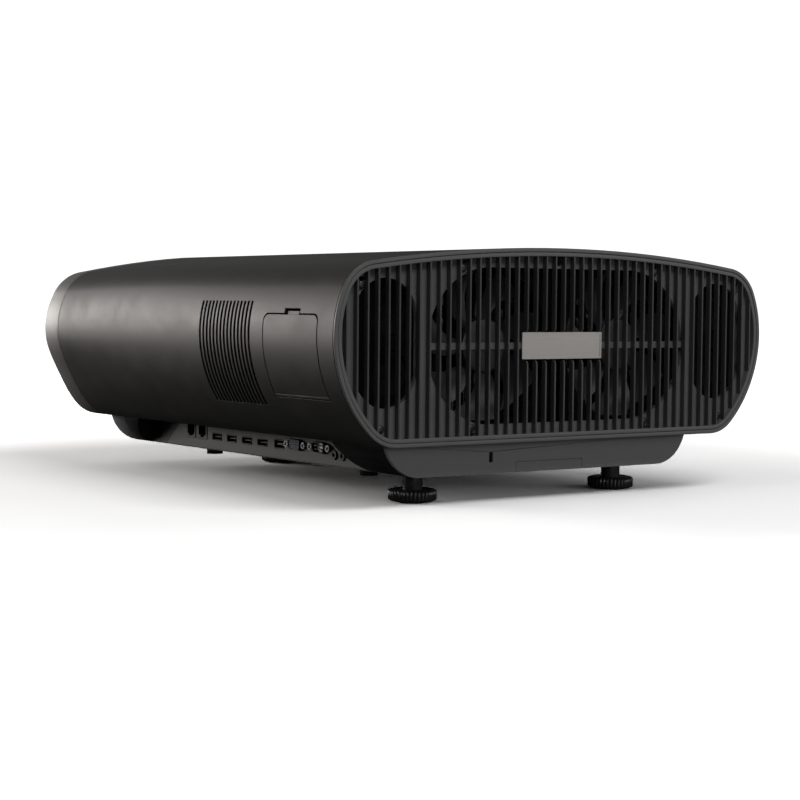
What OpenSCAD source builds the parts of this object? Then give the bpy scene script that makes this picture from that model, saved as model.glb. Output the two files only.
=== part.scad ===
// Home cinema projector. A wrap-round sleeve sits on a narrower base. Both ends are finned
// grilles: the lens is behind the front one, two exhaust fans and four speaker units behind
// the rear one. Ports are under the right-hand edge, the keypad is behind a drop-down door.
// Frame: X across (port and keypad side is +X), Y along (lens at -Y, exhaust at +Y), Z up.
// The origin is on the floor, under the middle of the overall box.

/* [Body] */
// Overall width across the sleeve
body_w = 416; // [412:1:418]
// Overall depth between the two end faces
body_d = 463; // [461:1:466]
// Height of the crown above the floor
body_top = 190.3; // [189.8:0.1:190.8]
// Wall of the wrap-round sleeve
sleeve_t = 3; // [2.8:0.1:3.1]
// Length of the lighter band round the front end
front_band = 26.5; // [25:0.5:28]
// Length of the ring round the rear end
rear_band = 2.5; // [2:0.5:4]

/* [Grilles] */
// Distance between neighbouring fins
fin_pitch = 8.96; // [8.9:0.01:9]
// Thickness of one fin
fin_t = 1.5; // [1.2:0.1:1.8]
// How far the fins stand off their plate
fin_depth = 4.5; // [4:0.1:5]
// Number of fins across each end
fin_count = 45; // [43:2:45]
// Width of the blank badge plate
badge_w = 78; // [74:1:79]
// Height of the blank badge plate
badge_h = 20; // [16:1:21]

/* [Side vents and door] */
// Slots in each side vent
slot_count = 15; // [12:1:15]
// Distance between neighbouring slots
slot_pitch = 5.14; // [5:0.01:5.2]
// Width of one slot
slot_w = 2.9; // [2.4:0.1:3]
// Length of the keypad door opening along the side
door_len = 73; // [72:0.5:74]
// Top edge of the door opening above the floor
door_top = 140.5; // [139:0.5:141]

/* [Lens] */
// Radius of the lens barrel
barrel_r = 42; // [40:1:42]
// Height of the lens axis above the floor
lens_z = 118; // [117:0.5:119]
// Outer radius of the trim round the lens
trim_r = 65.5; // [64.5:0.5:65.5]

/* [Fans] */
// Side of one square fan frame
fan_w = 120; // [119:0.5:121]
// Centre of each fan to the left and right
fan_x = 66; // [65:0.5:66.5]
// Blades on each rotor
blade_count = 7; // [5:1:9]

/* [Feet] */
// Radius of a foot's knurled disc
foot_r = 18.5; // [17:0.5:19]
// Radius of the threaded stem
stem_r = 7.5; // [6:0.25:7.5]
// Rear feet to the left and right of centre
foot_x = 99; // [97:0.5:100]
// Rear feet behind the middle
foot_y = 174; // [172:1:176]

/* [Hidden] */
$fn = 64;
buttons = ["power", "source", "menu", "up", "down", "left", "right", "enter"];
foot_names = ["rear_right", "rear_left", "front"];

// Colours
gunmetal = "#2c2c2e";
taupe = "#6f6a66";
ring_grey = "#5c5d60";
fin_grey = "#3d3e41";
base_grey = "#3a3b3d";
black = "#141415";
steel = "#9a9a9c";
board_green = "#1f5a3a";

// Body section: five tangent arcs from the crown round to the flat underside
shoulder_r = 33.5;
upper_side_r = 84.5;
lower_side_r = 97;
chine_r = 32.5;
crown_turn = 7.9;
shoulder_turn = 58.3;
upper_turn = 31.8;
lower_turn = 39.6;
chine_turn = 180 - crown_turn - shoulder_turn - upper_turn - lower_turn;
turns = [crown_turn, shoulder_turn, upper_turn, lower_turn, chine_turn];
waist_turn = crown_turn + shoulder_turn;
crown_r = (body_w / 2 - shoulder_r * (sin(waist_turn) - sin(crown_turn))
           - upper_side_r * (1 - sin(waist_turn))) / sin(crown_turn);
radii = [crown_r, shoulder_r, upper_side_r, lower_side_r, chine_r];
steps = [8, 14, 8, 10, 10];

function heading(i) = i == 0 ? 0 : heading(i - 1) + turns[i - 1];
function unit(a) = [sin(a), cos(a)];
// Start of arc i on the section moved in by t
function arc_start(i, t) = i == 0
  ? [0, body_top - t]
  : arc_start(i - 1, t) + (radii[i - 1] - t) * (unit(heading(i)) - unit(heading(i - 1)));
function arc_centre(i) = arc_start(i, 0) - radii[i] * unit(heading(i));
// Where the tangents at the two ends of arc i meet
function arc_corner(i, t) = arc_start(i, t)
  + (radii[i] - t) * tan(turns[i] / 2) * [cos(heading(i)), -sin(heading(i))];
// X of the lower side, moved in by t, at height z
function lower_side_x(z, t) = let (c = arc_centre(3))
  c[0] + sqrt(pow(lower_side_r - t, 2) - pow(z - c[1], 2));

under_z = arc_start(5, 0)[1];
deck_z = under_z + sleeve_t;
front_y = -body_d / 2;
rear_y = body_d / 2;
sleeve_y0 = front_y + front_band;
sleeve_y1 = rear_y - rear_band;
mid_z = 117.5;

// Tongues that locate the end rings inside the sleeve
spigot_t = 2.5;
spigot_len = 6;
// Depth at which the rear ring's tongue sits in the rebate of the sleeve
lap_t = 1.6;

// Grille layers, counted inward from an end face
ring_t = 3;
seam = 0.25;
rim_inset = 6.3;
fin_set = 0.7;
plate_set = fin_set + fin_depth;
plate_t = 3.8;
plate_back = plate_set + plate_t;

// Openings behind the fins
vent_w = 54;
vent_h = 92;
vent_x = 161.6;
vent_z = 120;
fan_bore_r = 57.5;
bar_h = 5;
pocket_w = fin_pitch - fin_t;
slot_mid_y = 81.4;
slot_z = [72, 149];
screw_top = [[183, 160.8], [94.1, 174]];
screw_low = [[165.8, 59.6], [85.1, 58]];
screw_shank = 5.2;
dial_shaft_r = 3;

// Door and keypad
door_y = 173;
door_z0 = 79.6;
door_gap = 0.4;
door_relief = 0.4;
door_corner = 6;
door_t = 2.2;
barrel_hinge_r = 1.7;
pin_r = 0.8;
pin_len = 11;
hinge_z = door_z0 + door_gap + barrel_hinge_r;
hinge_x = lower_side_x(hinge_z, barrel_hinge_r);
notch_w = 20.4;
notch_top = 144;
notch_y = door_y + 1.6;
tray_x = 184;
tray_t = 2;
key_y = 165;
key_z = 112;
key_step = 14.5;
side_key_y = 196;
key_places = [[side_key_y, key_z + 16], [side_key_y, key_z], [side_key_y, key_z - 16],
              [key_y, key_z + key_step], [key_y, key_z - key_step], [key_y + key_step, key_z],
              [key_y - key_step, key_z], [key_y, key_z]];
cap_r = 4.5;
enter_r = 6;
cap_gap = 0.35;
flange_t = 1;
button_travel = 0.8;
keypad_board_x = 180;

// Base
base_z0 = 21.5;
base_r = 32;
base_flat = 117;
base_y = 208;
base_front_y = -221;
base_t = 2.5;
fascia_t = 3;
cup_len = 24;
pan_y0 = base_front_y + cup_len;
pan_y1 = base_y - fascia_t;
slot_lock = [51.3, 34];
cover_x = -5.6;
cover_w = 66;
cover_top = 29.6;
cover_t = 1.6;

// Port recess
port_x = 125;
port_y0 = -168;
port_y1 = 136;
port_lean = 25;
panel_y0 = -156.5;
panel_top_y0 = -128.5;
panel_t = 1.2;
board_z = 31;
board_t = 1.6;
standoff_x = [-90, 95];
standoff_y = 95;
hdmi_z = 34.2;
usb_z = 34.6;
network_y = [-112.8, -93.4];
hdmi_y0 = -69.2;
hdmi_pitch = 24.4;
usb_y = 30;
d_sub_y = [56, 90.5];
d_sub_z = 36;
jack_y = [109.8, 120.9];
jack_z = 31.6;
inlet_y = 100;
inlet_z = 34.2;
inlet_half = 20;
inlet_lean = 12;

// Fixings
boss_x = 100;
boss_y = 118;
boss_r = 7;
boss_hole_r = 2.1;
boss_drop = 6;
boss_top = 28;
post_x = 80;
post_y = 60;
post_r = 4;

// Lens shift
rail_gap = 0.3;
mount_y = -119;
barrel_front_y = -222;
trim_bore_r = 56.5;
dial_x = 88;
dial_r = 10.5;

// Fans
fan_y1 = rear_y - plate_back - 1.5;
fan_t = 25;
hub_r = 20.5;
blade_r = 55.5;
blade_pitch = 17;
blade_camber = 60;

// Speakers
driver_x = 156;
driver_z = [98, 142];
driver_r = 18;

// Feet
pad_show = 0.8;
disc_top = 11.5;
stem_top = 38;
front_foot_y = -168;
foot_at = [[foot_x, foot_y], [-foot_x, foot_y], [0, front_foot_y]];
run_gap = 0.05;
knurls = 28;
pad_r = 13;
pad_pin_r = 3;

// Helpers
module along_y(y0, y1) translate([0, y1, 0]) rotate([90, 0, 0]) linear_extrude(y1 - y0) children();
module along_x(x0, x1) translate([x0, 0, 0]) rotate([90, 0, 90]) linear_extrude(x1 - x0) children();
module rod_y(x, z, r, y0, y1) translate([x, y1, z]) rotate([90, 0, 0]) cylinder(r = r, h = y1 - y0);
module rod_x(y, z, r, x0, x1) translate([x0, y, z]) rotate([0, 90, 0]) cylinder(r = r, h = x1 - x0);
module both_sides() {
  children();
  mirror([1, 0, 0]) children();
}
module stadium(w, h) {
  r = min(w, h) / 2;
  square([max(w - 2 * r, 0.01), h], center = true);
  square([w, max(h - 2 * r, 0.01)], center = true);
  for (sx = [-1, 1], sy = [-1, 1]) translate([sx * (w / 2 - r), sy * (h / 2 - r)]) circle(r);
}
module rounded(w, h, r) {
  square([w - 2 * r, h], center = true);
  square([w, h - 2 * r], center = true);
  for (sx = [-1, 1], sy = [-1, 1]) translate([sx * (w / 2 - r), sy * (h / 2 - r)]) circle(r);
}
module block(x, y, z) translate([x[0], y[0], z[0]]) cube([x[1] - x[0], y[1] - y[0], z[1] - z[0]]);

// Body outline moved in by t: the arcs in short steps, first down the right side
module section(t = 0) {
  right = [for (i = [0:4], k = [0:steps[i] - 1]) arc_point(i, k / steps[i], t)];
  under = arc_start(5, t);
  left = [for (k = [len(right) - 1:-1:1]) flip(right[k])];
  polygon(concat(right, [under, flip(under)], left));
}
function arc_point(i, part, t) = arc_centre(i) + (radii[i] - t) * unit(heading(i) + part * turns[i]);
function flip(p) = [-p[0], p[1]];
module tube(y0, y1, t0, t1) along_y(y0, y1) difference() {
  section(t0);
  section(t1);
}

// Sleeve
module side_slots() {
  for (i = [0:slot_count - 1]) {
    y = slot_mid_y + (i - (slot_count - 1) / 2) * slot_pitch;
    block([170, 230], [y - slot_w / 2, y + slot_w / 2], slot_z);
  }
}
module door_outline(gap = 0) {
  w = door_len - 2 * gap;
  h = door_top - door_z0 - 2 * gap;
  translate([door_y, door_z0 + gap]) {
    translate([-w / 2, 0]) square([w, h - door_corner]);
    translate([-w / 2 + door_corner, 0]) square([w - 2 * door_corner, h]);
    for (s = [-1, 1]) translate([s * (w / 2 - door_corner), h - door_corner]) circle(door_corner);
  }
}
module hinge_rods(r, len) {
  for (s = [-1, 1]) {
    y = door_y + s * door_len / 2;
    rod_y(hinge_x, hinge_z, r, y - len / 2, y + len / 2);
  }
}
module outer_sleeve() color(gunmetal) difference() {
  tube(sleeve_y0, sleeve_y1, 0, sleeve_t);
  both_sides() side_slots();
  along_x(188, 230) door_outline();
  block([190, 230], [door_y - door_len / 2, door_y + door_len / 2], [door_z0 - door_relief, door_z0 + 1]);
  block([195, 230], [notch_y - notch_w / 2, notch_y + notch_w / 2], [door_top - 1, notch_top]);
  block([-130, 130], [-180, 180], [under_z - 1, deck_z + 1]);
  hinge_rods(pin_r + 0.02, pin_len + 0.4);
  tube(sleeve_y1 - spigot_len, sleeve_y1 + 1, lap_t - 0.1, sleeve_t + 1);
}

// End rings and grilles
module front_bezel() color(taupe) {
  tube(front_y, sleeve_y0, 0, ring_t);
  tube(sleeve_y0 - 3, sleeve_y0, ring_t - 0.5, sleeve_t + spigot_t);
  tube(sleeve_y0 - 0.1, sleeve_y0 + spigot_len, sleeve_t + 0.1, sleeve_t + spigot_t);
}
module rear_bezel() color(ring_grey) {
  tube(sleeve_y1, rear_y, 0, ring_t);
  tube(sleeve_y1 - spigot_len + 0.1, sleeve_y1 + 0.1, lap_t, ring_t);
}
module fin_rows() {
  intersection() {
    section(rim_inset - 0.5);
    for (i = [0:fin_count - 1]) {
      translate([(i - (fin_count - 1) / 2) * fin_pitch - fin_t / 2, 0]) square([fin_t, 200]);
    }
  }
}
module side_vents() {
  for (s = [-1, 1]) translate([s * vent_x, vent_z]) stadium(vent_w, vent_h);
}
module screw_places() {
  for (s = [-1, 1], p = concat(screw_top, screw_low)) translate([s * p[0], p[1]]) children();
}
// Small windows in the plate, beyond each screw and beside the middle fin
module screw_pockets() {
  for (s = [-1, 1]) {
    for (p = screw_top) translate([s * p[0] - pocket_w / 2, p[1] + 3]) square([pocket_w, 8]);
    for (p = screw_low) translate([s * p[0] - pocket_w / 2, p[1] - 10]) square([pocket_w, 6.4]);
  }
  translate([fin_pitch / 2 - pocket_w / 2, 177]) square([pocket_w, 8]);
}
// The plate behind the fins; its openings are the children, 2D
module grille_plate() difference() {
  section(ring_t + seam);
  children();
}
module rear_grille() color(fin_grey) {
  tube(rear_y - plate_back, rear_y - 0.3, ring_t + seam, rim_inset);
  along_y(rear_y - plate_back, rear_y - plate_set) {
    grille_plate() {
      side_vents();
      difference() {
        translate([0, mid_z]) stadium(2 * (fan_x + 2 + fan_bore_r), 2 * fan_bore_r);
        translate([0, mid_z]) square([300, bar_h], center = true);
      }
      screw_pockets();
      screw_places() circle(1.7);
    }
  }
  along_y(rear_y - plate_set - 0.4, rear_y - fin_set) difference() {
    fin_rows();
    translate([0, mid_z - 0.4]) square([badge_w + 1, badge_h + 1.6], center = true);
  }
}
module front_grille() color(fin_grey) {
  tube(front_y + 0.3, front_y + plate_back, ring_t + seam, rim_inset);
  along_y(front_y + plate_set, front_y + plate_back) {
    grille_plate() {
      side_vents();
      translate([0, lens_z]) circle(trim_r + 0.3);
      for (s = [-1, 1]) translate([s * dial_x, lens_z]) circle(dial_shaft_r + run_gap);
      screw_places() circle(1.7);
    }
  }
  along_y(front_y + fin_set, front_y + plate_set + 0.4) difference() {
    fin_rows();
    translate([0, lens_z]) circle(trim_r + 0.3);
    for (s = [-1, 1]) translate([s * dial_x, lens_z]) circle(dial_r + 1.5);
    screw_places() circle(4);
  }
}
module lens_trim() color(taupe)
  translate([0, front_y, lens_z]) rotate([-90, 0, 0]) rotate_extrude($fn = 128)
  polygon([[trim_r - 5.5, 0], [trim_r - 1, 0], [trim_r, 1], [trim_r, plate_back + 0.1],
           [trim_r + 3, plate_back + 0.1], [trim_r + 3, 16], [trim_bore_r, 16], [trim_bore_r, 12]]);
module badge_plate() color(steel) along_y(rear_y - plate_set, rear_y - plate_set + 1.8)
  translate([0, mid_z]) rounded(badge_w, badge_h, 0.6);
module machine_screw(y, dir) {
  rod_y(0, 0, 3, min(y, y + 1.8 * dir), max(y, y + 1.8 * dir));
  rod_y(0, 0, 1.5, min(y, y - screw_shank * dir), max(y, y - screw_shank * dir));
}
module grille_screws() color(steel) {
  for (s = [-1, 1], p = concat(screw_top, screw_low)) {
    translate([s * p[0], 0, p[1]]) machine_screw(rear_y - plate_set, 1);
    translate([s * p[0], 0, p[1]]) machine_screw(front_y + plate_set, -1);
  }
}
module air_filters() color(black) both_sides() intersection() {
  tube(30, 132, sleeve_t + 0.3, sleeve_t + 5);
  block([150, 230], [38, 125], [66, 155]);
}

// Base
module base_section(t = 0) intersection() {
  translate([-200, base_z0 + t]) square([400, under_z - base_z0 - t]);
  union() {
    translate([-base_flat, base_z0]) square([2 * base_flat, 60]);
    for (s = [-1, 1]) translate([s * base_flat, base_z0 + base_r]) circle(base_r - t, $fn = 128);
  }
}
// A sloping-ended notch in the base's side; grow moves its faces out
module recess(y0, y1, lean, grow) along_x(port_x - grow, 170) polygon([
  [y0 - lean - grow, base_z0 - 1], [y1 + lean + grow, base_z0 - 1], [y1 + grow, under_z],
  [y1 + grow, under_z + 5], [y0 - grow, under_z + 5], [y0 - grow, under_z]]);
module pan_form(t, y0, y1) difference() {
  along_y(y0, y1) base_section(t);
  recess(port_y0, port_y1, port_lean, t);
  mirror([1, 0, 0]) recess(inlet_y - inlet_half, inlet_y + inlet_half, inlet_lean, t);
}
module at_feet() for (p = foot_at) translate([p[0], p[1], 0]) children();
module at_bosses() for (x = [-1, 1], y = [-1, 1]) translate([x * boss_x, y * boss_y, 0]) children();
module at_posts() for (x = [-1, 1], y = [-1, 1]) translate([x * post_x, y * post_y, 0]) children();
module base_pan() color(black) difference() {
  union() {
    difference() {
      pan_form(0, pan_y0, pan_y1);
      translate([0, 0, 0.01]) pan_form(base_t, pan_y0 - 1, pan_y1 + 1);
    }
    at_feet() translate([0, 0, base_z0 + 0.5]) cylinder(r = stem_r + 4, h = 22);
    for (x = standoff_x, y = [-standoff_y, standoff_y]) {
      translate([x, y, base_z0 + 1]) cylinder(r = 3, h = board_z - board_t - base_z0 - 1);
    }
  }
  at_feet() translate([0, 0, base_z0 - 1]) cylinder(r = stem_r + run_gap, h = 30);
  at_bosses() translate([0, 0, base_z0 - 1]) cylinder(r = boss_r + 0.05, h = 6);
  at_posts() translate([0, 0, base_z0 - 1]) cylinder(r = 1.7, h = 6);
  at_posts() translate([0, 0, base_z0 - 1]) cylinder(r = 3.3, h = 2.7);
  block([port_x - 4, port_x + 1], [-124, 106], [29.5, 44.8]);
  for (y = jack_y) rod_x(y, jack_z, 4.3, port_x - 4, port_x + 1);
  block([-port_x - 1, -port_x + 4], [inlet_y - 14, inlet_y + 14], [23.9, 44.5]);
}
module front_fascia() color(base_grey) {
  along_y(base_front_y, base_front_y + fascia_t) base_section(0);
  along_y(base_front_y + fascia_t - 0.01, pan_y0) difference() {
    base_section(0);
    translate([0, 0.01]) base_section(base_t);
  }
}
module rear_fascia() color(base_grey) difference() {
  along_y(pan_y1, base_y) base_section(0);
  along_y(pan_y1 - 1, base_y + 1) translate(slot_lock) rounded(3.5, 8, 1);
  along_y(base_y - cover_t, base_y + 1) translate([cover_x - cover_w / 2, 0]) square([cover_w, cover_top]);
}
module blanking_cover() color(base_grey) along_y(base_y - cover_t, base_y) intersection() {
  base_section(0);
  translate([cover_x - cover_w / 2 + 0.3, 0]) square([cover_w - 0.6, cover_top - 0.3]);
}
module port_holes(gap) {
  for (y = network_y) translate([y, board_z + 6.7]) square([15.5 + gap, 13.4 + gap], center = true);
  for (i = [0:3]) {
    translate([hdmi_y0 + i * hdmi_pitch, hdmi_z]) square([15 + gap, 5.9 + gap], center = true);
  }
  translate([usb_y, usb_z]) square([14.4 + gap, 7 + gap], center = true);
  for (y = d_sub_y) translate([y, d_sub_z]) d_outline(gap / 2);
  for (y = d_sub_y, s = [-12.5, 12.5]) translate([y + s, d_sub_z]) circle(1.6);
  for (y = jack_y) translate([y, jack_z]) circle(3.6 + gap / 2);
}
module d_outline(g) polygon([
  [-8.6 - g, 4.1 + g], [8.6 + g, 4.1 + g], [7.4 + g, -4.1 - g], [-7.4 - g, -4.1 - g]]);
module io_panel() color("#4a4643") along_x(port_x, port_x + panel_t) difference() {
  polygon([[panel_y0, base_z0 + 2], [port_y1 + port_lean - 3.5, base_z0 + 2],
           [port_y1 - 0.5, under_z - 0.4], [panel_top_y0, under_z - 0.4]]);
  port_holes(0.5);
}

// Sockets
module network_sockets() color(steel) for (y = network_y) difference() {
  block([port_x - 17, port_x + panel_t + 0.6], [y - 7.75, y + 7.75], [board_z, board_z + 13.4]);
  block([port_x - 11, port_x + 5], [y - 5.9, y + 5.9], [board_z + 3.2, board_z + 11.6]);
  block([port_x - 11, port_x + 5], [y - 3, y + 3], [board_z + 1.4, board_z + 4]);
}
module shell_socket(y, w, h, z, tongue_w, tongue_t) {
  mouth_w = w - 1;
  mouth_h = h - 1.2;
  difference() {
    block([port_x - 12, port_x + panel_t + 0.5], [y - w / 2, y + w / 2], [z - h / 2, z + h / 2]);
    block([port_x - 9, port_x + 5], [y - mouth_w / 2, y + mouth_w / 2],
          [z - mouth_h / 2, z + mouth_h / 2]);
  }
  block([port_x - 9.5, port_x], [y - tongue_w / 2, y + tongue_w / 2], [z - tongue_t / 2, z + tongue_t / 2]);
}
module hdmi_sockets() color(steel) for (i = [0:3]) {
  shell_socket(hdmi_y0 + i * hdmi_pitch, 15, 5.9, hdmi_z, 10.5, 1);
}
module usb_socket() color(steel) shell_socket(usb_y, 14.4, 7, usb_z, 11, 1.9);
module d_sub_sockets() color("#2d3d66") for (y = d_sub_y) {
  along_x(port_x - 12, port_x + 4.6) translate([y, d_sub_z]) d_outline(0);
  block([port_x - 12, port_x - 1], [y - 14.9, y + 14.9], [board_z, board_z + 10.6]);
  for (s = [-12.5, 12.5]) {
    rod_x(y + s, d_sub_z, 1.5, port_x - 2, port_x + 3);
    translate([port_x + panel_t, y + s, d_sub_z]) rotate([0, 90, 0]) cylinder(r = 2.9, h = 2.8, $fn = 6);
  }
}
module audio_jacks() color(black) for (y = jack_y) difference() {
  union() {
    rod_x(y, jack_z, 3.6, port_x - 3, port_x + 2.4);
    block([port_x - 16, port_x - 2.8], [y - 4.3, y + 4.3], [jack_z - 4, jack_z + 4.5]);
  }
  rod_x(y, jack_z, 1.75, port_x - 13, port_x + 3);
}
module power_inlet() color(black) mirror([1, 0, 0]) {
  difference() {
    union() {
      block([port_x, port_x + 2], [inlet_y - 16, inlet_y + 16], [23.2, 45.4]);
      block([port_x - 18, port_x + 1], [inlet_y - 13.6, inlet_y + 13.6], [24.2, 44.2]);
    }
    along_x(port_x - 15, port_x + 3) translate([inlet_y, inlet_z]) rounded(24.4, 16.6, 2);
  }
  for (p = [[-7, -2], [0, 3], [7, -2]]) translate([0, inlet_y + p[0], inlet_z + p[1]])
    block([port_x - 16, port_x - 1], [-1, 1], [-2, 2]);
}

// Fixings under the base
module mount_bosses() color(black) at_bosses() difference() {
  translate([0, 0, base_z0 - boss_drop]) cylinder(r = boss_r, h = boss_top - base_z0 + boss_drop);
  translate([0, 0, base_z0 - boss_drop - 1]) cylinder(r = boss_hole_r, h = 11);
}
module base_screws() color(steel) at_posts() {
  translate([0, 0, base_z0 + 0.2]) cylinder(r = 3, h = 1.5);
  translate([0, 0, base_z0 + 1.5]) cylinder(r = 1.5, h = 12);
}

// Inside the body
module chassis_deck() color(steel) difference() {
  union() {
    block([-150, 150], [-192, 190], [deck_z, deck_z + 2]);
    at_posts() translate([0, 0, base_z0 + base_t]) cylinder(r = post_r, h = deck_z - base_z0 - base_t + 1);
  }
  at_posts() translate([0, 0, base_z0]) cylinder(r = 1.55, h = 16);
  for (x = [-45, 45]) translate([x, 150, deck_z - 1]) cylinder(r = 12, h = 4);
}
module main_board() color(board_green) difference() {
  union() {
    block([-104, 121], [-128, 102], [board_z - board_t, board_z]);
    block([-30, 5], [-40, -5], [board_z - 0.1, board_z + 6]);
    block([20, 36], [-30, -14], [board_z - 0.1, board_z + 2]);
    block([20, 36], [0, 16], [board_z - 0.1, board_z + 2]);
    for (i = [0:4]) translate([-60, -90 + 14 * i, board_z - 0.1]) cylinder(r = 4, h = 9);
  }
  at_posts() translate([0, 0, board_z - 5]) cylinder(r = post_r + 0.6, h = 10);
}
module power_supply() color("#6d6a3a") {
  floor_z = deck_z + 2;
  block([-150, -68], [-70, 90], [floor_z, floor_z + 4]);
  block([-140, -104], [-60, -24], [floor_z + 3.9, floor_z + 34]);
  block([-98, -76], [-60, 10], [floor_z + 3.9, floor_z + 28]);
  for (y = [0, 26, 52]) translate([-125, y, floor_z + 3.9]) cylinder(r = 11, h = 32);
  block([-98, -76], [24, 80], [floor_z + 3.9, floor_z + 22]);
}
module optical_engine() color(steel) {
  block([-52, 62], [-88, 40], [deck_z + 14, 150]);
  for (x = [-44, 54], y = [-80, 32]) translate([x, y, deck_z + 2]) cylinder(r = 5, h = 13);
  rod_y(0, lens_z, 28, -94, -87);
  block([-30, 40], [-60, 20], [149.9, 160]);
}
module light_modules() color(steel) {
  block([62, 74], [-70, -30], [96, 136]);
  rod_x(-50, 116, 15, 74, 92);
  block([62, 74], [-20, 20], [96, 136]);
  rod_x(0, 116, 15, 74, 92);
  block([-20, 20], [40, 52], [96, 136]);
  rod_y(0, 116, 15, 52, 70);
}
module heat_sinks() color(steel) for (s = [-1, 1]) translate([s * 64, 0, 0]) {
  block([-50, 50], [120, 180], [deck_z + 2, deck_z + 8]);
  for (i = [0:19]) block([-50 + i * 5.2, -48.8 + i * 5.2], [120, 180], [deck_z + 7.9, 172]);
}

// Lens and shift mechanism
module lens_mount() color(steel) difference() {
  union() {
    block([-80, 80], [mount_y, mount_y + 8], [deck_z + 2, 178]);
    both_sides() block([66, 76], [mount_y - 9, mount_y + 1], [60, 176]);
  }
  block([-45, 45], [mount_y - 1, mount_y + 9], [lens_z - 46, lens_z + 46]);
}
module vertical_carriage() color("#77787b") difference() {
  union() {
    block([-66 + rail_gap, 66 - rail_gap], [mount_y - 8.5, mount_y - 0.5], [lens_z - 49, lens_z + 49]);
    for (s = [-1, 1]) translate([0, 0, lens_z + s * 46])
      block([-60, 60], [mount_y - 17, mount_y - 8.4], [-3, 3]);
  }
  block([-39, 39], [mount_y - 20, mount_y + 1], [lens_z - 36, lens_z + 36]);
}
module horizontal_carriage() color("#8c8d90") difference() {
  block([-54, 54], [mount_y - 16, mount_y - 9], [lens_z - 43 + rail_gap, lens_z + 43 - rail_gap]);
  rod_y(0, lens_z, 32.1, mount_y - 20, mount_y);
}
module lens_barrel() color(black) translate([0, 0, lens_z]) rotate([-90, 0, 0]) rotate_extrude($fn = 128)
  polygon([[39, barrel_front_y], [barrel_r + 2, barrel_front_y], [barrel_r + 2, barrel_front_y + 14],
           [barrel_r, barrel_front_y + 14], [barrel_r, mount_y - 17], [32, mount_y - 17], [32, -97],
           [26, -97], [26, -150], [36, -160], [36, -206], [39, -208]]);
module lens_glass() color("#5a6b8c") {
  translate([0, 0, lens_z]) rotate([-90, 0, 0]) rotate_extrude($fn = 128) intersection() {
    translate([0, -218 + 75]) circle(75, $fn = 256);
    translate([0, -219]) square([38.8, 10.8]);
  }
  rod_y(0, lens_z, 25.8, -104, -98);
}
module grip_ring(y0, y1, ribs) translate([0, y1, lens_z]) rotate([90, 0, 0]) difference() {
  union() {
    cylinder(r = 45.8, h = y1 - y0, $fn = 128);
    for (i = [0:ribs - 1]) rotate(i * 360 / ribs) translate([45.6, 0, 2]) cylinder(r = 1, h = y1 - y0 - 4);
  }
  translate([0, 0, -1]) cylinder(r = barrel_r + 0.3, h = y1 - y0 + 2, $fn = 128);
}
module zoom_ring() color(black) grip_ring(-180, -166, 36);
module focus_ring() color(black) grip_ring(-207.5, -190, 48);
module dial(x) {
  difference() {
    rod_y(x, lens_z, dial_r, front_y + 1.5, front_y + plate_set - 0.6);
    for (i = [0:23]) translate([x, 0, lens_z]) rotate([0, i * 15, 0]) {
      rod_y(dial_r + 0.3, 0, 0.8, front_y, 0);
    }
  }
  rod_y(x, lens_z, 3, front_y + 3, front_y + 22);
}
module vertical_dial() color(taupe) dial(dial_x);
module horizontal_dial() color(taupe) dial(-dial_x);

// Fans
module fan_frame() difference() {
  union() {
    along_y(fan_y1 - fan_t, fan_y1) difference() {
      rounded(fan_w, fan_w, 6);
      circle(fan_bore_r, $fn = 128);
      for (x = [-1, 1], z = [-1, 1]) translate([x * 52.5, z * 52.5]) circle(2.2);
    }
    for (a = [45:90:315]) rotate([0, a, 0]) {
      block([18, fan_bore_r + 0.5], [fan_y1 - fan_t, fan_y1 - fan_t + 4], [-2.5, 2.5]);
    }
    rod_y(0, 0, hub_r, fan_y1 - fan_t, fan_y1 - fan_t + 4);
    rod_y(0, 0, 4.5, fan_y1 - fan_t, fan_y1 - 7);
  }
  rod_y(0, 0, 1.55, fan_y1 - fan_t + 1, fan_y1);
}
module fan_frames() color(black) for (s = [-1, 1]) translate([s * fan_x, 0, mid_z]) fan_frame();
// One blade: a cambered sheet trimmed to an outline that widens and sweeps back to its tip
function blade_edge(f, side) = let (a = 20 * f * f + side * (13 + 6 * f))
  (hub_r - 1 + f * (blade_r - hub_r + 4)) * [cos(a), sin(a)];
module blade() intersection() {
  translate([0, 0, 6.5]) rotate([0, 0, 12]) rotate([blade_pitch, 0, 0]) translate([0, 0, -blade_camber]) {
    difference() {
      rod_x(0, 0, blade_camber + 0.8, 0, 70);
      rod_x(0, 0, blade_camber - 0.8, -1, 71);
    }
  }
  linear_extrude(14) polygon(concat(
    [for (f = [0:0.2:1]) blade_edge(f, -1)], [for (f = [1:-0.2:0]) blade_edge(f, 1)]));
  cylinder(r = blade_r, h = 14);
}
module fan_rotor(x) translate([x, fan_y1 - 4, mid_z]) rotate([90, 0, 0]) {
  difference() {
    cylinder(r = hub_r, h = 15);
    translate([0, 0, 2.5]) cylinder(r = hub_r - 2, h = 20);
  }
  translate([0, 0, 1]) cylinder(r = 1.5, h = 18);
  for (i = [0:blade_count - 1]) rotate(i * 360 / blade_count) translate([0, 0, 0.5]) blade();
}
module right_fan_rotor() color(black) fan_rotor(fan_x);
module left_fan_rotor() color(black) fan_rotor(-fan_x);

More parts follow.
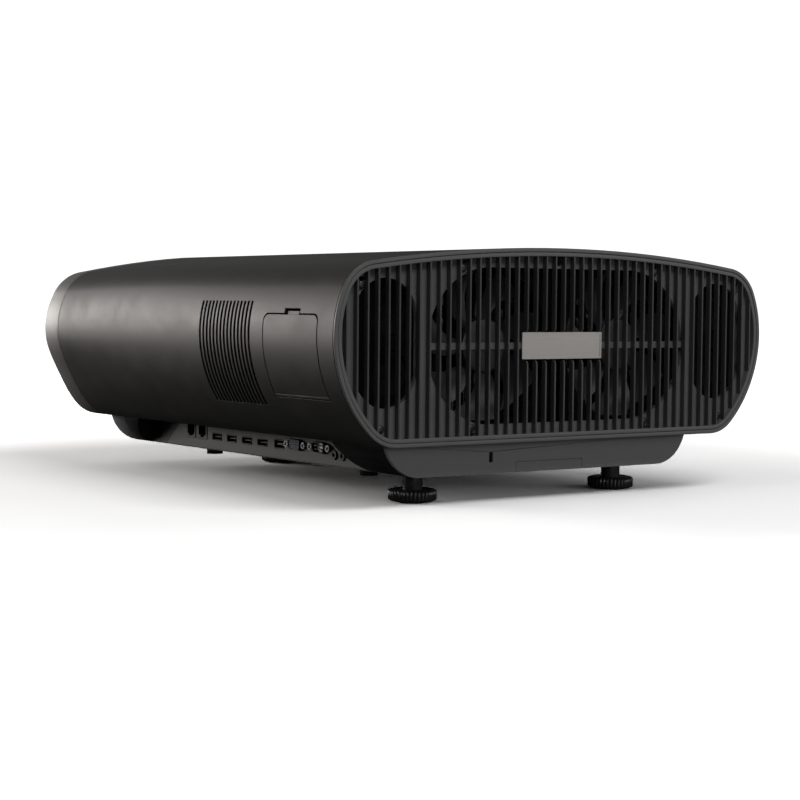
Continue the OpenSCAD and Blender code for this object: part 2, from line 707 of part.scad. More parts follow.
// Speakers
module speaker_boxes() color(black) both_sides() difference() {
  union() {
    intersection() {
      along_y(fan_y1 - 6, fan_y1) section(ring_t + 3);
      block([131, 210], [0, 300], [62, 178]);
    }
    block([132, 176], [170, fan_y1 - 5.9], [72, 168]);
  }
  block([134, 174], [172, fan_y1 - 6], [74, 166]);
  for (z = driver_z) rod_y(driver_x, z, driver_r, fan_y1 - 8, fan_y1 + 1);
}
module speaker_drivers() color(black) both_sides() for (z = driver_z) {
  translate([driver_x, fan_y1, z]) rotate([90, 0, 0]) rotate_extrude() polygon([
    [0, 8], [6, 9], [16, 2], [driver_r - 0.4, 2], [driver_r - 0.4, 5], [12, 16], [12, 24], [0, 24]]);
}

// Keypad
function key_r(i) = i == 7 ? enter_r : cap_r;
module button(i) color(steel) translate([0, key_places[i][0], key_places[i][1]]) {
  rod_x(0, 0, key_r(i), tray_x - flange_t - 0.4, tray_x + tray_t + 3.5);
  rod_x(0, 0, key_r(i) + 1.3, tray_x - flange_t - 0.4, tray_x - 0.4);
}
module keypad_tray() color(black) difference() {
  union() {
    intersection() {
      difference() {
        block([tray_x, 230], [door_y - 38.5, door_y + 38.5], [door_z0 - 2.1, notch_top + 2.1]);
        block([tray_x + tray_t, 230], [door_y - 36.5, door_y + 36.5], [door_z0 - 0.1, notch_top + 0.1]);
      }
      along_y(100, 219) section(sleeve_t + 0.1);
    }
    for (y = [-1, 1], z = [-1, 1]) rod_x(door_y + y * 31, key_z + z * 25, 2.5, keypad_board_x, tray_x + 1);
  }
  for (i = [0:7]) {
    rod_x(key_places[i][0], key_places[i][1], key_r(i) + cap_gap, tray_x - 1, tray_x + tray_t + 1);
  }
}
module keypad_board() color(board_green) {
  block([keypad_board_x - 1.6, keypad_board_x], [door_y - 35, door_y + 35], [key_z - 29, key_z + 29]);
  for (p = key_places) rod_x(p[0], p[1], 2.5, keypad_board_x - 0.1, keypad_board_x + 1.5);
}
module side_door() color(gunmetal) difference() {
  union() {
    intersection() {
      tube(door_y - 50, door_y + 45, 0, door_t);
      along_x(188, 230) door_outline(door_gap);
    }
    intersection() {
      tube(door_y - 50, door_y + 45, 1.2, door_t);
      block([188, 230], [door_y - 6, door_y + 9], [door_top - 3, door_top + 2]);
    }
    rod_y(hinge_x, hinge_z, barrel_hinge_r, door_y - door_len / 2 + door_gap,
          door_y + door_len / 2 - door_gap);
  }
  hinge_rods(pin_r + run_gap, 15);
}
module door_pins() color(steel) hinge_rods(pin_r, pin_len);

// Feet
module foot() {
  rotate_extrude() polygon([
    [0, 7], [pad_pin_r, 7], [pad_pin_r, 3.1], [pad_r + 0.4, 3.1], [pad_r + 0.4, pad_show],
    [foot_r - 2, pad_show], [foot_r - 1, pad_show + 1], [foot_r - 1, disc_top - 1],
    [foot_r - 2, disc_top], [stem_r, disc_top], [stem_r, stem_top], [0, stem_top]]);
  for (i = [0:knurls - 1]) rotate(i * 360 / knurls) translate([foot_r - 1.1, 0, pad_show + 1.3]) {
    cylinder(r = 1.1, h = disc_top - pad_show - 2.6);
  }
}
module pad() {
  cylinder(r = pad_r, h = 2.8);
  cylinder(r = pad_pin_r - run_gap, h = 6.5);
}
module place(i) translate([foot_at[i][0], foot_at[i][1], 0]) children();

outer_sleeve();
front_bezel();
front_grille();
lens_trim();
rear_bezel();
rear_grille();
badge_plate();
grille_screws();
air_filters();
base_pan();
front_fascia();
rear_fascia();
blanking_cover();
io_panel();
network_sockets();
hdmi_sockets();
usb_socket();
d_sub_sockets();
audio_jacks();
power_inlet();
mount_bosses();
base_screws();
chassis_deck();
main_board();
power_supply();
optical_engine();
light_modules();
heat_sinks();
lens_mount();
vertical_carriage();
horizontal_carriage();
lens_barrel();
lens_glass();
zoom_ring();
focus_ring();
vertical_dial();
horizontal_dial();
fan_frames();
right_fan_rotor();
left_fan_rotor();
speaker_boxes();
speaker_drivers();
keypad_tray();
keypad_board();
side_door();
door_pins();
for (i = [0:7]) button(i);
for (i = [0:2]) {
  color(black) place(i) foot();
  color("#1c1c1c") place(i) pad();
}
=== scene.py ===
"""Looks of a home cinema projector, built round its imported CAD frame. Lengths are in mm until make()."""

import math

import bmesh
import bpy
from mathutils import Matrix, Vector
from mathutils.geometry import tessellate_polygon

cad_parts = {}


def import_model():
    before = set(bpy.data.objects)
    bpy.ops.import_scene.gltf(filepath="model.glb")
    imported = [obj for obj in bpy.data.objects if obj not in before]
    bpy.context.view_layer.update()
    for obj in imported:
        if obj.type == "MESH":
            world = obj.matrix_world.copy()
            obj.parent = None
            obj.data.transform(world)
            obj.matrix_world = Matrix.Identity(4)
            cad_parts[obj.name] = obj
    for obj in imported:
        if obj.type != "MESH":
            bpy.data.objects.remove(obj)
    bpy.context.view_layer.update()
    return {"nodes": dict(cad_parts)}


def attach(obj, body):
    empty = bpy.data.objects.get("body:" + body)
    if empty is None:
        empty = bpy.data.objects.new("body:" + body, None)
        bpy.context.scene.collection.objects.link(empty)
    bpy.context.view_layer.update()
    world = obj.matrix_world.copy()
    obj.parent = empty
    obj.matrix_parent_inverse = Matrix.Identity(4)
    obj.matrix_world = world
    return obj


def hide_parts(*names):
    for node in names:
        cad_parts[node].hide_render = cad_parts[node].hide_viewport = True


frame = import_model()
NODES = frame["nodes"]
MM = 0.001

# Body section: five tangent arcs from the crown round to the flat underside
TOP_Z = 190.3
HALF_W = 208.0
TURNS = [7.9, 58.3, 31.8, 39.6, 42.4]
RADII = [0.0, 33.5, 84.5, 97.0, 32.5]
STEPS = [10, 18, 14, 14, 12]
FRONT_Y, REAR_Y = -231.5, 231.5
SLEEVE_Y, SLEEVE_T = (-205.0, 229.0), 3.0
PLAIN_Y1 = 35.0  # the sleeve's sides have no holes before this
SIDE_X = 150.0  # a hole further out than this is in a side
UNDER_X, UNDER_Y = 100.0, 180.0  # half sizes of the opening under the sleeve
UNDER_Z = 46.08
MID_Z = 117.5
LENS_Z = 118.0

# How the visible front end departs from the straight section: growth towards the front, then
# the drop of the shoulders (over run_x beyond from_x, over run_z above the lens axis), then the
# inward move of the lower sides
GROWTH = 1.8
SHOULDER = {"drop": 6.3, "from_x": 70.0, "run_x": 124.0, "power": 1.3, "run_z": 40.0}
LOW_SIDE = {"inward": 3.4, "full_x": 185.0, "power": 3}

# Grilles, as depths behind an end face
FIN_PITCH, FIN_T, FIN_COUNT = 8.96, 1.5, 45
FIN_SET, PLATE_SET, PLATE_BACK = 0.7, 5.2, 9.0
FIN_CHAMFER = (1.1, 2.0)  # depth and height at a fin's cut end
RIM_T0, RIM_T1 = 3.25, 6.3
VENT_X, VENT_Z, VENT_W, VENT_H = 161.6, 120.0, 54.0, 92.0
FAN_X, FAN_BORE, BAR_H = 66.0, 57.5, 5.0
SCREWS = [(183.0, 160.8), (94.1, 174.0), (165.8, 59.6), (85.1, 58.0)]
BADGE_W, BADGE_H = 78.0, 20.0
BADGE_CLEAR = (1.2, 0.4)  # gap to the fins below and above
TRIM_R, DIAL_X, DIAL_R = 65.5, 88.0, 10.5

# Side vent and door
SLOT_MID, SLOT_PITCH, SLOT_W, SLOT_Z, SLOT_COUNT = 81.4, 5.14, 2.9, (72.0, 149.0), 15
DOOR_Y, DOOR_LEN, DOOR_Z, DOOR_GAP, DOOR_CORNER = 173.0, 73.0, (79.2, 140.5), 0.9, 6.0
NOTCH_Y, NOTCH_W, NOTCH_TOP = 174.6, 20.4, 144.0
DOOR_T, TAB_Y, TAB_Z = 2.2, (-6, 9), (-3, 2)
HINGE_X, HINGE_Z, BARREL_R, BARREL_BORE = 195.389, 81.7, 1.7, 0.86
HINGE_SHOWN = 1.4  # strip of the hinge left showing below the door panel, where its bright finish is a painted highlight along the door's lower edge

# Base and ports
PORT_X, BOARD_Z = 125.0, 31.0
NETWORK_Y = (-112.8, -93.4)
D_SUB_Y, D_SUB_Z, D_SUB_FACE = (56.0, 90.5), 36.0, 4.6
D_SUB_BACK, NUT_Y, NUT_R, NUT_BORE, PIN_PITCH = (14.9, 10.6), 12.5, 2.9, 1.5, 2.29
CONTACT_PITCH = 1.02
FEET = {"rear_right": (99, 174), "rear_left": (-99, 174), "front": (0, -168)}


# ---------------------------------------------------------------- section

def unit(a):
    """Outward direction of the section at a degrees from straight up."""
    return math.sin(math.radians(a)), math.cos(math.radians(a))


def arc_table():
    """(first heading, turn, centre, radius) of each arc of the right half."""
    waist = TURNS[0] + TURNS[1]
    side = RADII[1] * (unit(waist)[0] - unit(TURNS[0])[0]) + RADII[2] * (1 - unit(waist)[0])
    radii = [(HALF_W - side) / unit(TURNS[0])[0]] + RADII[1:]
    arcs, start, heading = [], (0.0, TOP_Z), 0.0
    for r, turn in zip(radii, TURNS):
        a, b = unit(heading), unit(heading + turn)
        arcs.append((heading, turn, (start[0] - r * a[0], start[1] - r * a[1]), r))
        start = (start[0] + r * (b[0] - a[0]), start[1] + r * (b[1] - a[1]))
        heading += turn
    return arcs


ARCS = arc_table()


def at(station, t=0.0):
    """(x, z) of the station (arc, heading) moved in by t."""
    i, a = station
    _, _, c, r = ARCS[i]
    n = unit(a)
    return c[0] + (r - t) * n[0], c[1] + (r - t) * n[1]


def station_at(z):
    """The station of the right-hand side whose outer surface is at height z."""
    for i, (a0, turn, c, r) in enumerate(ARCS):
        if abs(z - c[1]) <= r:
            a = math.degrees(math.acos((z - c[1]) / r))
            if a0 - 1e-6 <= a <= a0 + turn + 1e-6:
                return i, a
    raise ValueError("no station at z = %s" % z)


def stations(extra=(), quiet=None):
    """Stations down the right half, with one at each z in extra and none inside quiet."""
    found = [(i, a0 + turn * k / STEPS[i]) for i, (a0, turn, _, _) in enumerate(ARCS)
             for k in range(STEPS[i])] + [(4, 180.0)]
    fixed = [station_at(z) for z in extra]
    keep = []
    for s in found:
        z = at(s)[1]
        near = any(abs(at(f)[1] - z) < 0.5 and abs(at(f)[0] - at(s)[0]) < 3 for f in fixed)
        inside = quiet and quiet[0] < z < quiet[1]
        if not near and not inside:
            keep.append(s)
    return sorted(keep + fixed)


def section_loop(t=0.0):
    """The closed outline moved in by t, as (x, z)."""
    right = [at(s, t) for s in stations()]
    return right + [(-x, z) for x, z in reversed(right[1:])]


def section_z(x, t):
    """Lowest and highest z of the outline moved in by t, at x."""
    loop = section_loop(t)
    hits = []
    for (x0, z0), (x1, z1) in zip(loop, loop[1:] + loop[:1]):
        if (x0 - x) * (x1 - x) <= 0 and x0 != x1:
            hits.append(z0 + (z1 - z0) * (x - x0) / (x1 - x0))
    return min(hits), max(hits)


# ---------------------------------------------------------------- shapes

class Shape:
    """Vertices and faces of several closed solids."""

    def __init__(self):
        self.verts, self.faces = [], []

    def add(self, solid, move=(0, 0, 0)):
        verts, faces = solid
        n = len(self.verts)
        self.verts += [tuple(a + b for a, b in zip(v, move)) for v in verts]
        self.faces += [tuple(i + n for i in f) for f in faces]
        return self


def place3(axis, p, h):
    """2D point p at height h along an axis."""
    return {"x": (h, p[0], p[1]), "y": (p[0], h, p[1]), "z": (p[0], p[1], h)}[axis]


def prism(axis, outline, lo, hi, holes=()):
    """A closed outline with holes, drawn from lo to hi along an axis."""
    loops = [list(outline)] + [list(h) for h in holes]
    flat = [p for loop in loops for p in loop]
    tris = tessellate_polygon([[Vector((p[0], p[1], 0)) for p in loop] for loop in loops])
    n = len(flat)
    verts = [place3(axis, p, lo) for p in flat] + [place3(axis, p, hi) for p in flat]
    faces = [tuple(t) for t in tris] + [tuple(i + n for i in t) for t in tris]
    start = 0
    for loop in loops:
        m = len(loop)
        for k in range(m):
            a, b = start + k, start + (k + 1) % m
            faces.append((a, b, b + n, a + n))
        start += m
    return verts, faces


def box(x, y, z):
    """A box from a (low, high) pair on each axis."""
    verts = [(a, b, c) for a in x for b in y for c in z]
    return verts, [(0, 1, 3, 2), (4, 6, 7, 5), (0, 4, 5, 1), (2, 3, 7, 6), (0, 2, 6, 4), (1, 5, 7, 3)]


def circle(cx, cy, r, n=48, a0=0.0):
    """A circle as n points."""
    return [(cx + r * math.cos(a0 + 2 * math.pi * k / n), cy + r * math.sin(a0 + 2 * math.pi * k / n))
            for k in range(n)]


def rounded(cx, cy, w, h, r, n=8):
    """Rectangle with rounded corners; with r at half the short side it is a stadium."""
    out = []
    for k, (sx, sy) in enumerate([(1, 1), (-1, 1), (-1, -1), (1, -1)]):
        ox, oy = cx + sx * (w / 2 - r), cy + sy * (h / 2 - r)
        for j in range(n + 1):
            a = math.pi / 2 * (k + j / n)
            out.append((ox + r * math.cos(a), oy + r * math.sin(a)))
    return out


def fillet(points, r, n=3):
    """A closed profile with each corner rounded by up to r."""
    out = []
    m = len(points)
    for k in range(m):
        p, a, b = (Vector(points[j % m]) for j in (k, k - 1, k + 1))
        da, db = a - p, b - p
        cut = min(r, da.length * 0.45, db.length * 0.45)
        start, end = p + da.normalized() * cut, p + db.normalized() * cut
        for j in range(n + 1):
            u = j / n
            out.append(tuple(start * (1 - u) ** 2 + p * 2 * u * (1 - u) + end * u * u))
    return out


def ring_faces(rings, count, closed=True):
    """Quads between rings of count points; closed joins the last ring to the first."""
    faces = []
    for k in range(rings if closed else rings - 1):
        a, b = k * count, (k + 1) % rings * count
        faces += [(a + j, a + (j + 1) % count, b + (j + 1) % count, b + j) for j in range(count)]
    return faces


def band(profile):
    """A closed (y, t) profile carried round the body section."""
    rings = [[(x, y, z) for x, z in section_loop(t)] for y, t in profile]
    return [v for ring in rings for v in ring], ring_faces(len(rings), len(rings[0]))


def lathe(axis, centre, profile, n=64):
    """A closed (radius, height) profile turned about an axis."""
    verts = []
    for r, h in profile:
        for k in range(n):
            a = 2 * math.pi * k / n
            p = place3(axis, (r * math.cos(a), r * math.sin(a)), h)
            verts.append(tuple(u + c for u, c in zip(p, centre)))
    return verts, ring_faces(len(profile), n)


def solid_sheet(outer, inner, faces):
    """A closed solid between two matching sheets that share their faces."""
    n = len(outer)
    edges = {(f[k], f[(k + 1) % len(f)]) for f in faces for k in range(len(f))}
    out = [tuple(f) for f in faces] + [tuple(i + n for i in reversed(f)) for f in faces]
    out += [(b, a, a + n, b + n) for a, b in sorted(edges) if (b, a) not in edges]
    return list(outer) + list(inner), out


# ---------------------------------------------------------------- materials

def node(tree, kind, **values):
    """A shader node with its inputs or settings given by name."""
    n = tree.nodes.new(kind)
    for key, value in values.items():
        if key in n.inputs:
            n.inputs[key].default_value = value
        else:
            setattr(n, key, value)
    return n


def noise(tree, coords, scale, stretch=(1, 1, 1), detail=3.0, rough=0.55):
    """Value output of a noise over object coordinates, with scale in features per metre."""
    move = node(tree, "ShaderNodeMapping", Scale=[scale * s for s in stretch])
    tree.links.new(coords, move.inputs["Vector"])
    n = node(tree, "ShaderNodeTexNoise", Scale=1.0, Detail=detail, Roughness=rough)
    tree.links.new(move.outputs["Vector"], n.inputs["Vector"])
    return n.outputs[0]


def span(tree, value, lo, hi, from_lo=0.3, from_hi=0.7):
    """A value mapped from one range to lo..hi."""
    m = node(tree, "ShaderNodeMapRange")
    for key, v in zip(("From Min", "From Max", "To Min", "To Max"), (from_lo, from_hi, lo, hi)):
        m.inputs[key].default_value = v
    tree.links.new(value, m.inputs["Value"])
    return m.outputs[0]


def blend_colours(tree, factor, dark, light):
    """A colour that goes from dark to light with the factor."""
    ramp = node(tree, "ShaderNodeValToRGB")
    ramp.color_ramp.elements[0].color = (*dark, 1)
    ramp.color_ramp.elements[1].color = (*light, 1)
    ramp.color_ramp.elements[0].position = 0.3
    ramp.color_ramp.elements[1].position = 0.7
    tree.links.new(factor, ramp.inputs["Fac"])
    return ramp.outputs["Color"]


def surface(name, dark, light, rough, grain, depth, metallic=0.0, stretch=(1, 1, 1), fixed=(),
            patch=45.0):
    """A finish: colour drifting from dark to light, roughness in patches, and a fine grain.

    rough is (low, high), grain the fine features per metre, depth the height of the grain in mm.
    """
    mat = bpy.data.materials.new(name)
    mat.use_nodes = True
    tree = mat.node_tree
    bsdf = tree.nodes["Principled BSDF"]
    coords = node(tree, "ShaderNodeTexCoord").outputs["Object"]
    fine = noise(tree, coords, grain, stretch, 2.0, 0.6)
    soft = noise(tree, coords, patch, (1, 1, 1), 4.0, 0.6)
    mixed = node(tree, "ShaderNodeMath", operation="MULTIPLY_ADD")
    mixed.inputs[1].default_value = 0.5
    tree.links.new(fine, mixed.inputs[0])
    half = node(tree, "ShaderNodeMath", operation="MULTIPLY")
    half.inputs[1].default_value = 0.5
    tree.links.new(soft, half.inputs[0])
    tree.links.new(half.outputs[0], mixed.inputs[2])
    tree.links.new(blend_colours(tree, mixed.outputs[0], dark, light), bsdf.inputs["Base Color"])
    tree.links.new(span(tree, soft, *rough), bsdf.inputs["Roughness"])
    bump = node(tree, "ShaderNodeBump", Strength=1.0, Distance=depth * MM)
    tree.links.new(fine, bump.inputs["Height"])
    tree.links.new(bump.outputs["Normal"], bsdf.inputs["Normal"])
    bsdf.inputs["Metallic"].default_value = metallic
    for key, value in dict(fixed).items():
        bsdf.inputs[key].default_value = value
    return mat


def grey(v, warm=0.0):
    """A grey of value v, tinted towards red by warm."""
    return v * (1 + warm), v, v * (1 - warm)


WAVE_UNIT = 6.3  # scale at which a wave texture has one band for each unit


def weave(name, dark, light, pitch):
    """Crossed threads: two stretched waves drive colour and height."""
    mat = surface(name, dark, light, (0.8, 0.95), 900.0, 0.02)
    tree = mat.node_tree
    bsdf = tree.nodes["Principled BSDF"]
    coords = node(tree, "ShaderNodeTexCoord").outputs["Object"]
    heights = []
    for axis in ("Y", "Z"):
        wave = node(tree, "ShaderNodeTexWave", wave_type="BANDS", bands_direction=axis,
                    Scale=1 / pitch / MM / WAVE_UNIT)
        tree.links.new(coords, wave.inputs["Vector"])
        heights.append(wave.outputs["Fac"])
    top = node(tree, "ShaderNodeMath", operation="MAXIMUM")
    for k in (0, 1):
        tree.links.new(heights[k], top.inputs[k])
    tree.links.new(blend_colours(tree, top.outputs[0], dark, light), bsdf.inputs["Base Color"])
    bump = node(tree, "ShaderNodeBump", Strength=1.0, Distance=0.3 * MM)
    tree.links.new(top.outputs[0], bump.inputs["Height"])
    tree.links.new(bump.outputs["Normal"], bsdf.inputs["Normal"])
    return mat


MATS = {}


def finish(name, *values, **options):
    """Adds a surface to the list of materials."""
    MATS[name] = surface(name, *values, **options)


def make_materials():
    """Every finish of the object."""
    finish("gunmetal", grey(0.085, 0.03), grey(0.115, 0.03), (0.48, 0.55), 2600, 0.004, metallic=0.85,
           stretch=(1, 0.12, 1))
    finish("taupe", grey(0.26, 0.03), grey(0.32, 0.03), (0.48, 0.54), 2600, 0.004, metallic=0.6,
           stretch=(1, 0.2, 1))
    finish("grille_grey", grey(0.075), grey(0.095), (0.42, 0.5), 2500, 0.01)
    finish("ring_grey", grey(0.15), grey(0.18), (0.38, 0.46), 2200, 0.008)
    finish("badge", grey(0.47, 0.04), grey(0.57, 0.05), (0.34, 0.44), 900, 0.006, metallic=0.8,
           stretch=(0.04, 1, 1.6))
    finish("black_steel", grey(0.06), grey(0.10), (0.32, 0.45), 1500, 0.008, metallic=0.9)
    MATS["filter_mesh"] = weave("filter_mesh", grey(0.004), grey(0.02), 1.1)
    finish("black_plastic", grey(0.009), grey(0.015), (0.42, 0.55), 1800, 0.02)
    finish("base_grey", grey(0.25), grey(0.28), (0.42, 0.52), 1800, 0.012)
    finish("panel_steel", grey(0.07, 0.05), grey(0.09, 0.05), (0.42, 0.5), 1600, 0.012)
    finish("socket_steel", grey(0.42), grey(0.55), (0.25, 0.4), 1200, 0.006, metallic=0.95,
           stretch=(0.3, 1, 1))
    finish("grille_plate", grey(0.13), grey(0.16), (0.42, 0.5), 2500, 0.01)
    # Near black and barely reflective: painted shade deep inside the grille openings, laid over the fan
    # frames' and speaker boxes' own black
    finish("painted_shade_black", grey(0.002), grey(0.004), (0.8, 0.9), 900, 0.02,
           fixed={"Specular IOR Level": 0.1})
    # Bright steel for the hex standoffs; on the door hinge the same bright finish is a painted highlight
    # along the door's lower edge
    finish("bright_steel_and_highlight", grey(0.36), grey(0.44), (0.28, 0.38), 1200, 0.004, metallic=0.9,
           stretch=(1, 0.1, 1))
    finish("socket_dark", grey(0.05), grey(0.08), (0.35, 0.5), 1200, 0.006, metallic=0.6)
    finish("vga_blue", (0.035, 0.045, 0.10), (0.05, 0.062, 0.13), (0.4, 0.5), 1500, 0.01)
    finish("contact_gold", (0.55, 0.36, 0.12), (0.7, 0.48, 0.18), (0.2, 0.3), 1800, 0.004, metallic=1.0)
    finish("board", (0.008, 0.045, 0.02), (0.014, 0.08, 0.035), (0.25, 0.4), 700, 0.03, patch=260.0)
    finish("cast_alloy", grey(0.36), grey(0.48), (0.45, 0.6), 900, 0.05, metallic=0.9)
    finish("rubber", grey(0.012), grey(0.022), (0.7, 0.85), 1600, 0.03)
    finish("fan_plastic", grey(0.02), grey(0.03), (0.28, 0.36), 1500, 0.008)
    # Speaker cones: their own black made nearly lightless, with a weak reflection, as painted shade deep
    # behind the grille
    finish("cone", grey(0.002), grey(0.005), (0.75, 0.9), 900, 0.02, fixed={"Specular IOR Level": 0.15})
    finish("key_plastic", grey(0.20), grey(0.25), (0.4, 0.5), 2000, 0.01)
    finish("foot_plastic", grey(0.03), grey(0.045), (0.18, 0.26), 1400, 0.012)
    finish("coated_glass", (0.55, 0.6, 0.8), (0.75, 0.7, 0.9), (0.02, 0.05), 300, 0.0,
           fixed={"Transmission Weight": 0.9, "IOR": 1.5, "Coat Weight": 0.6,
                  "Coat Tint": (0.5, 0.6, 1.0, 1)})


# ---------------------------------------------------------------- pieces

BEVEL_ANGLE, SMOOTH_ANGLE = 32, 40


def bevel(ob, width, segments=2):
    """Rounds the sharp edges of a piece by width mm."""
    m = ob.modifiers.new("bevel", "BEVEL")
    m.width = width * MM
    m.segments = segments
    m.limit_method = "ANGLE"
    m.angle_limit = math.radians(BEVEL_ANGLE)
    m.harden_normals = True
    m.use_clamp_overlap = True


def make(name, shape, slot, body, covers=(), edge=0.0, segments=2):
    """A piece from a Shape or (verts, faces), with its edges rounded by edge mm."""
    verts, faces = (shape.verts, shape.faces) if isinstance(shape, Shape) else shape
    mesh = bpy.data.meshes.new(name)
    mesh.from_pydata([[c * MM for c in v] for v in verts], [], faces)
    bm = bmesh.new()
    bm.from_mesh(mesh)
    bmesh.ops.delete(bm, geom=[v for v in bm.verts if not v.link_faces], context="VERTS")
    bmesh.ops.recalc_face_normals(bm, faces=bm.faces)
    bm.to_mesh(mesh)
    bm.free()
    mesh.polygons.foreach_set("use_smooth", [True] * len(mesh.polygons))
    ob = bpy.data.objects.new(name, mesh)
    bpy.context.scene.collection.objects.link(ob)
    mesh.materials.append(MATS[slot])
    if edge:
        bevel(ob, edge, segments)
    else:
        mesh.set_sharp_from_angle(angle=math.radians(SMOOTH_ANGLE))
    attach(ob, body)
    if covers:
        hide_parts(*covers)
    return ob


def door_arc(side, gap=0.0, n=8):
    """(y, z) along a top corner of the door, from its side edge up to its top edge."""
    cy = DOOR_Y + side * (DOOR_LEN / 2 - DOOR_CORNER - gap)
    cz = DOOR_Z[1] - DOOR_CORNER - gap
    turns = linspace(0.0, math.pi / 2, n)
    return [(cy + side * DOOR_CORNER * math.cos(a), cz + DOOR_CORNER * math.sin(a)) for a in turns]


def linspace(lo, hi, n):
    """n + 1 evenly spaced values from lo to hi."""
    return [lo + (hi - lo) * k / n for k in range(n + 1)]


def slot_edges():
    """Both edges of each side slot, along Y."""
    out = []
    for i in range(SLOT_COUNT):
        y = SLOT_MID + (i - (SLOT_COUNT - 1) / 2) * SLOT_PITCH
        out += [y - SLOT_W / 2, y + SLOT_W / 2]
    return out


def in_slot(y, z):
    """Whether a point of the side is in a slot."""
    k = (y - SLOT_MID) / SLOT_PITCH + (SLOT_COUNT - 1) / 2
    near = round(k)
    return (0 <= near < SLOT_COUNT and abs(k - near) * SLOT_PITCH < SLOT_W / 2
            and SLOT_Z[0] < z < SLOT_Z[1])


def is_cut(x, y, z):
    """Whether the sleeve has a hole at this point."""
    if abs(x) > SIDE_X and in_slot(y, z):
        return True
    if x > SIDE_X and abs(y - DOOR_Y) < DOOR_LEN / 2 and DOOR_Z[0] < z < DOOR_Z[1]:
        return True
    if x > SIDE_X and abs(y - NOTCH_Y) < NOTCH_W / 2 and DOOR_Z[1] < z < NOTCH_TOP:
        return True
    return z < UNDER_Z + 0.5 and abs(x) < UNDER_X and abs(y) < UNDER_Y


def sleeve_stations():
    """Stations of the sleeve's right half, with one at each edge of a hole."""
    return stations((*SLOT_Z, *DOOR_Z, DOOR_Z[1] - DOOR_CORNER, NOTCH_TOP),
                    (DOOR_Z[1] - DOOR_CORNER, DOOR_Z[1]))


def mirrored(right, flat):
    """A closed outline from its right half and the points of its flat underside."""
    return right + flat + [(-x, z) for x, z in reversed(right[1:])]


def outer_sleeve():
    """The wrap-round shell: a grid over the section, with holes left out and rounded edges."""
    right = sleeve_stations()
    flat = [(UNDER_X, UNDER_Z), (-UNDER_X, UNDER_Z)]
    outer_line = mirrored([at(s) for s in right], flat)
    inner_line = mirrored([at(s, SLEEVE_T) for s in right], [(x, z + SLEEVE_T) for x, z in flat])
    half = DOOR_LEN / 2
    ys = sorted({*SLEEVE_Y, -UNDER_Y, UNDER_Y, *slot_edges(), DOOR_Y - half, DOOR_Y + half,
                 DOOR_Y - half + DOOR_CORNER, DOOR_Y + half - DOOR_CORNER,
                 NOTCH_Y - NOTCH_W / 2, NOTCH_Y + NOTCH_W / 2, *linspace(SLEEVE_Y[0], PLAIN_Y1, 10)})
    n = len(ys)
    count = len(outer_line)
    faces = []
    for i in range(count):
        j = (i + 1) % count
        x = (outer_line[i][0] + outer_line[j][0]) / 2
        z = (outer_line[i][1] + outer_line[j][1]) / 2
        for k in range(n - 1):
            if not is_cut(x, (ys[k] + ys[k + 1]) / 2, z):
                faces.append((i * n + k, i * n + k + 1, j * n + k + 1, j * n + k))
    outer = [(x, y, z) for x, z in outer_line for y in ys]
    inner = [(x, y, z) for x, z in inner_line for y in ys]
    add_corners(outer, inner, faces, ys, right)
    return make("outer_sleeve_skin", drawn_in(solid_sheet(outer, inner, faces)), "gunmetal", "housing",
                ["outer_sleeve"], edge=0.35, segments=3)


def add_corners(outer, inner, faces, ys, right):
    """Fills the rounded top corners of the door opening in the sleeve's grid."""
    n = len(ys)
    top = right.index(station_at(DOOR_Z[1]))
    low = right.index(station_at(DOOR_Z[1] - DOOR_CORNER))
    for side in (-1, 1):
        arc = door_arc(side)
        k_edge, k_in = ys.index(arc[0][0]), ys.index(DOOR_Y + side * (DOOR_LEN / 2 - DOOR_CORNER))
        first = len(outer)
        for y, z in arc[1:-1]:
            s = station_at(z)
            outer.append((at(s)[0], y, at(s)[1]))
            inner.append((at(s, SLEEVE_T)[0], y, at(s, SLEEVE_T)[1]))
        extra = list(range(first, first + len(arc) - 2))
        loop = [low * n + k_edge] + extra + [top * n + k_in, top * n + k_edge]
        faces.append(tuple(loop if side > 0 else reversed(loop)))


def drawn_in(solid):
    """The front end's shape: shoulders lower and lower sides straighter, growing from the middle."""
    verts, faces = (solid.verts, solid.faces) if isinstance(solid, Shape) else solid
    out = []
    for x, y, z in verts:
        grown = (max(-y, 0.0) / -FRONT_Y) ** GROWTH
        side = abs(x)
        if z > LENS_Z:
            beyond = max(side - SHOULDER["from_x"], 0.0) / SHOULDER["run_x"]
            above = min(1.0, (z - LENS_Z) / SHOULDER["run_z"])
            z -= SHOULDER["drop"] * beyond ** SHOULDER["power"] * above * grown
        else:
            below = min(max((LENS_Z - z) / (LENS_Z - UNDER_Z), 0.0), 1.0)
            share = math.sin(math.pi * below) ** 2 * min(1.0, side / LOW_SIDE["full_x"]) ** LOW_SIDE["power"]
            x -= math.copysign(LOW_SIDE["inward"] * share * grown, x)
        out.append((x, y, z))
    return out, faces


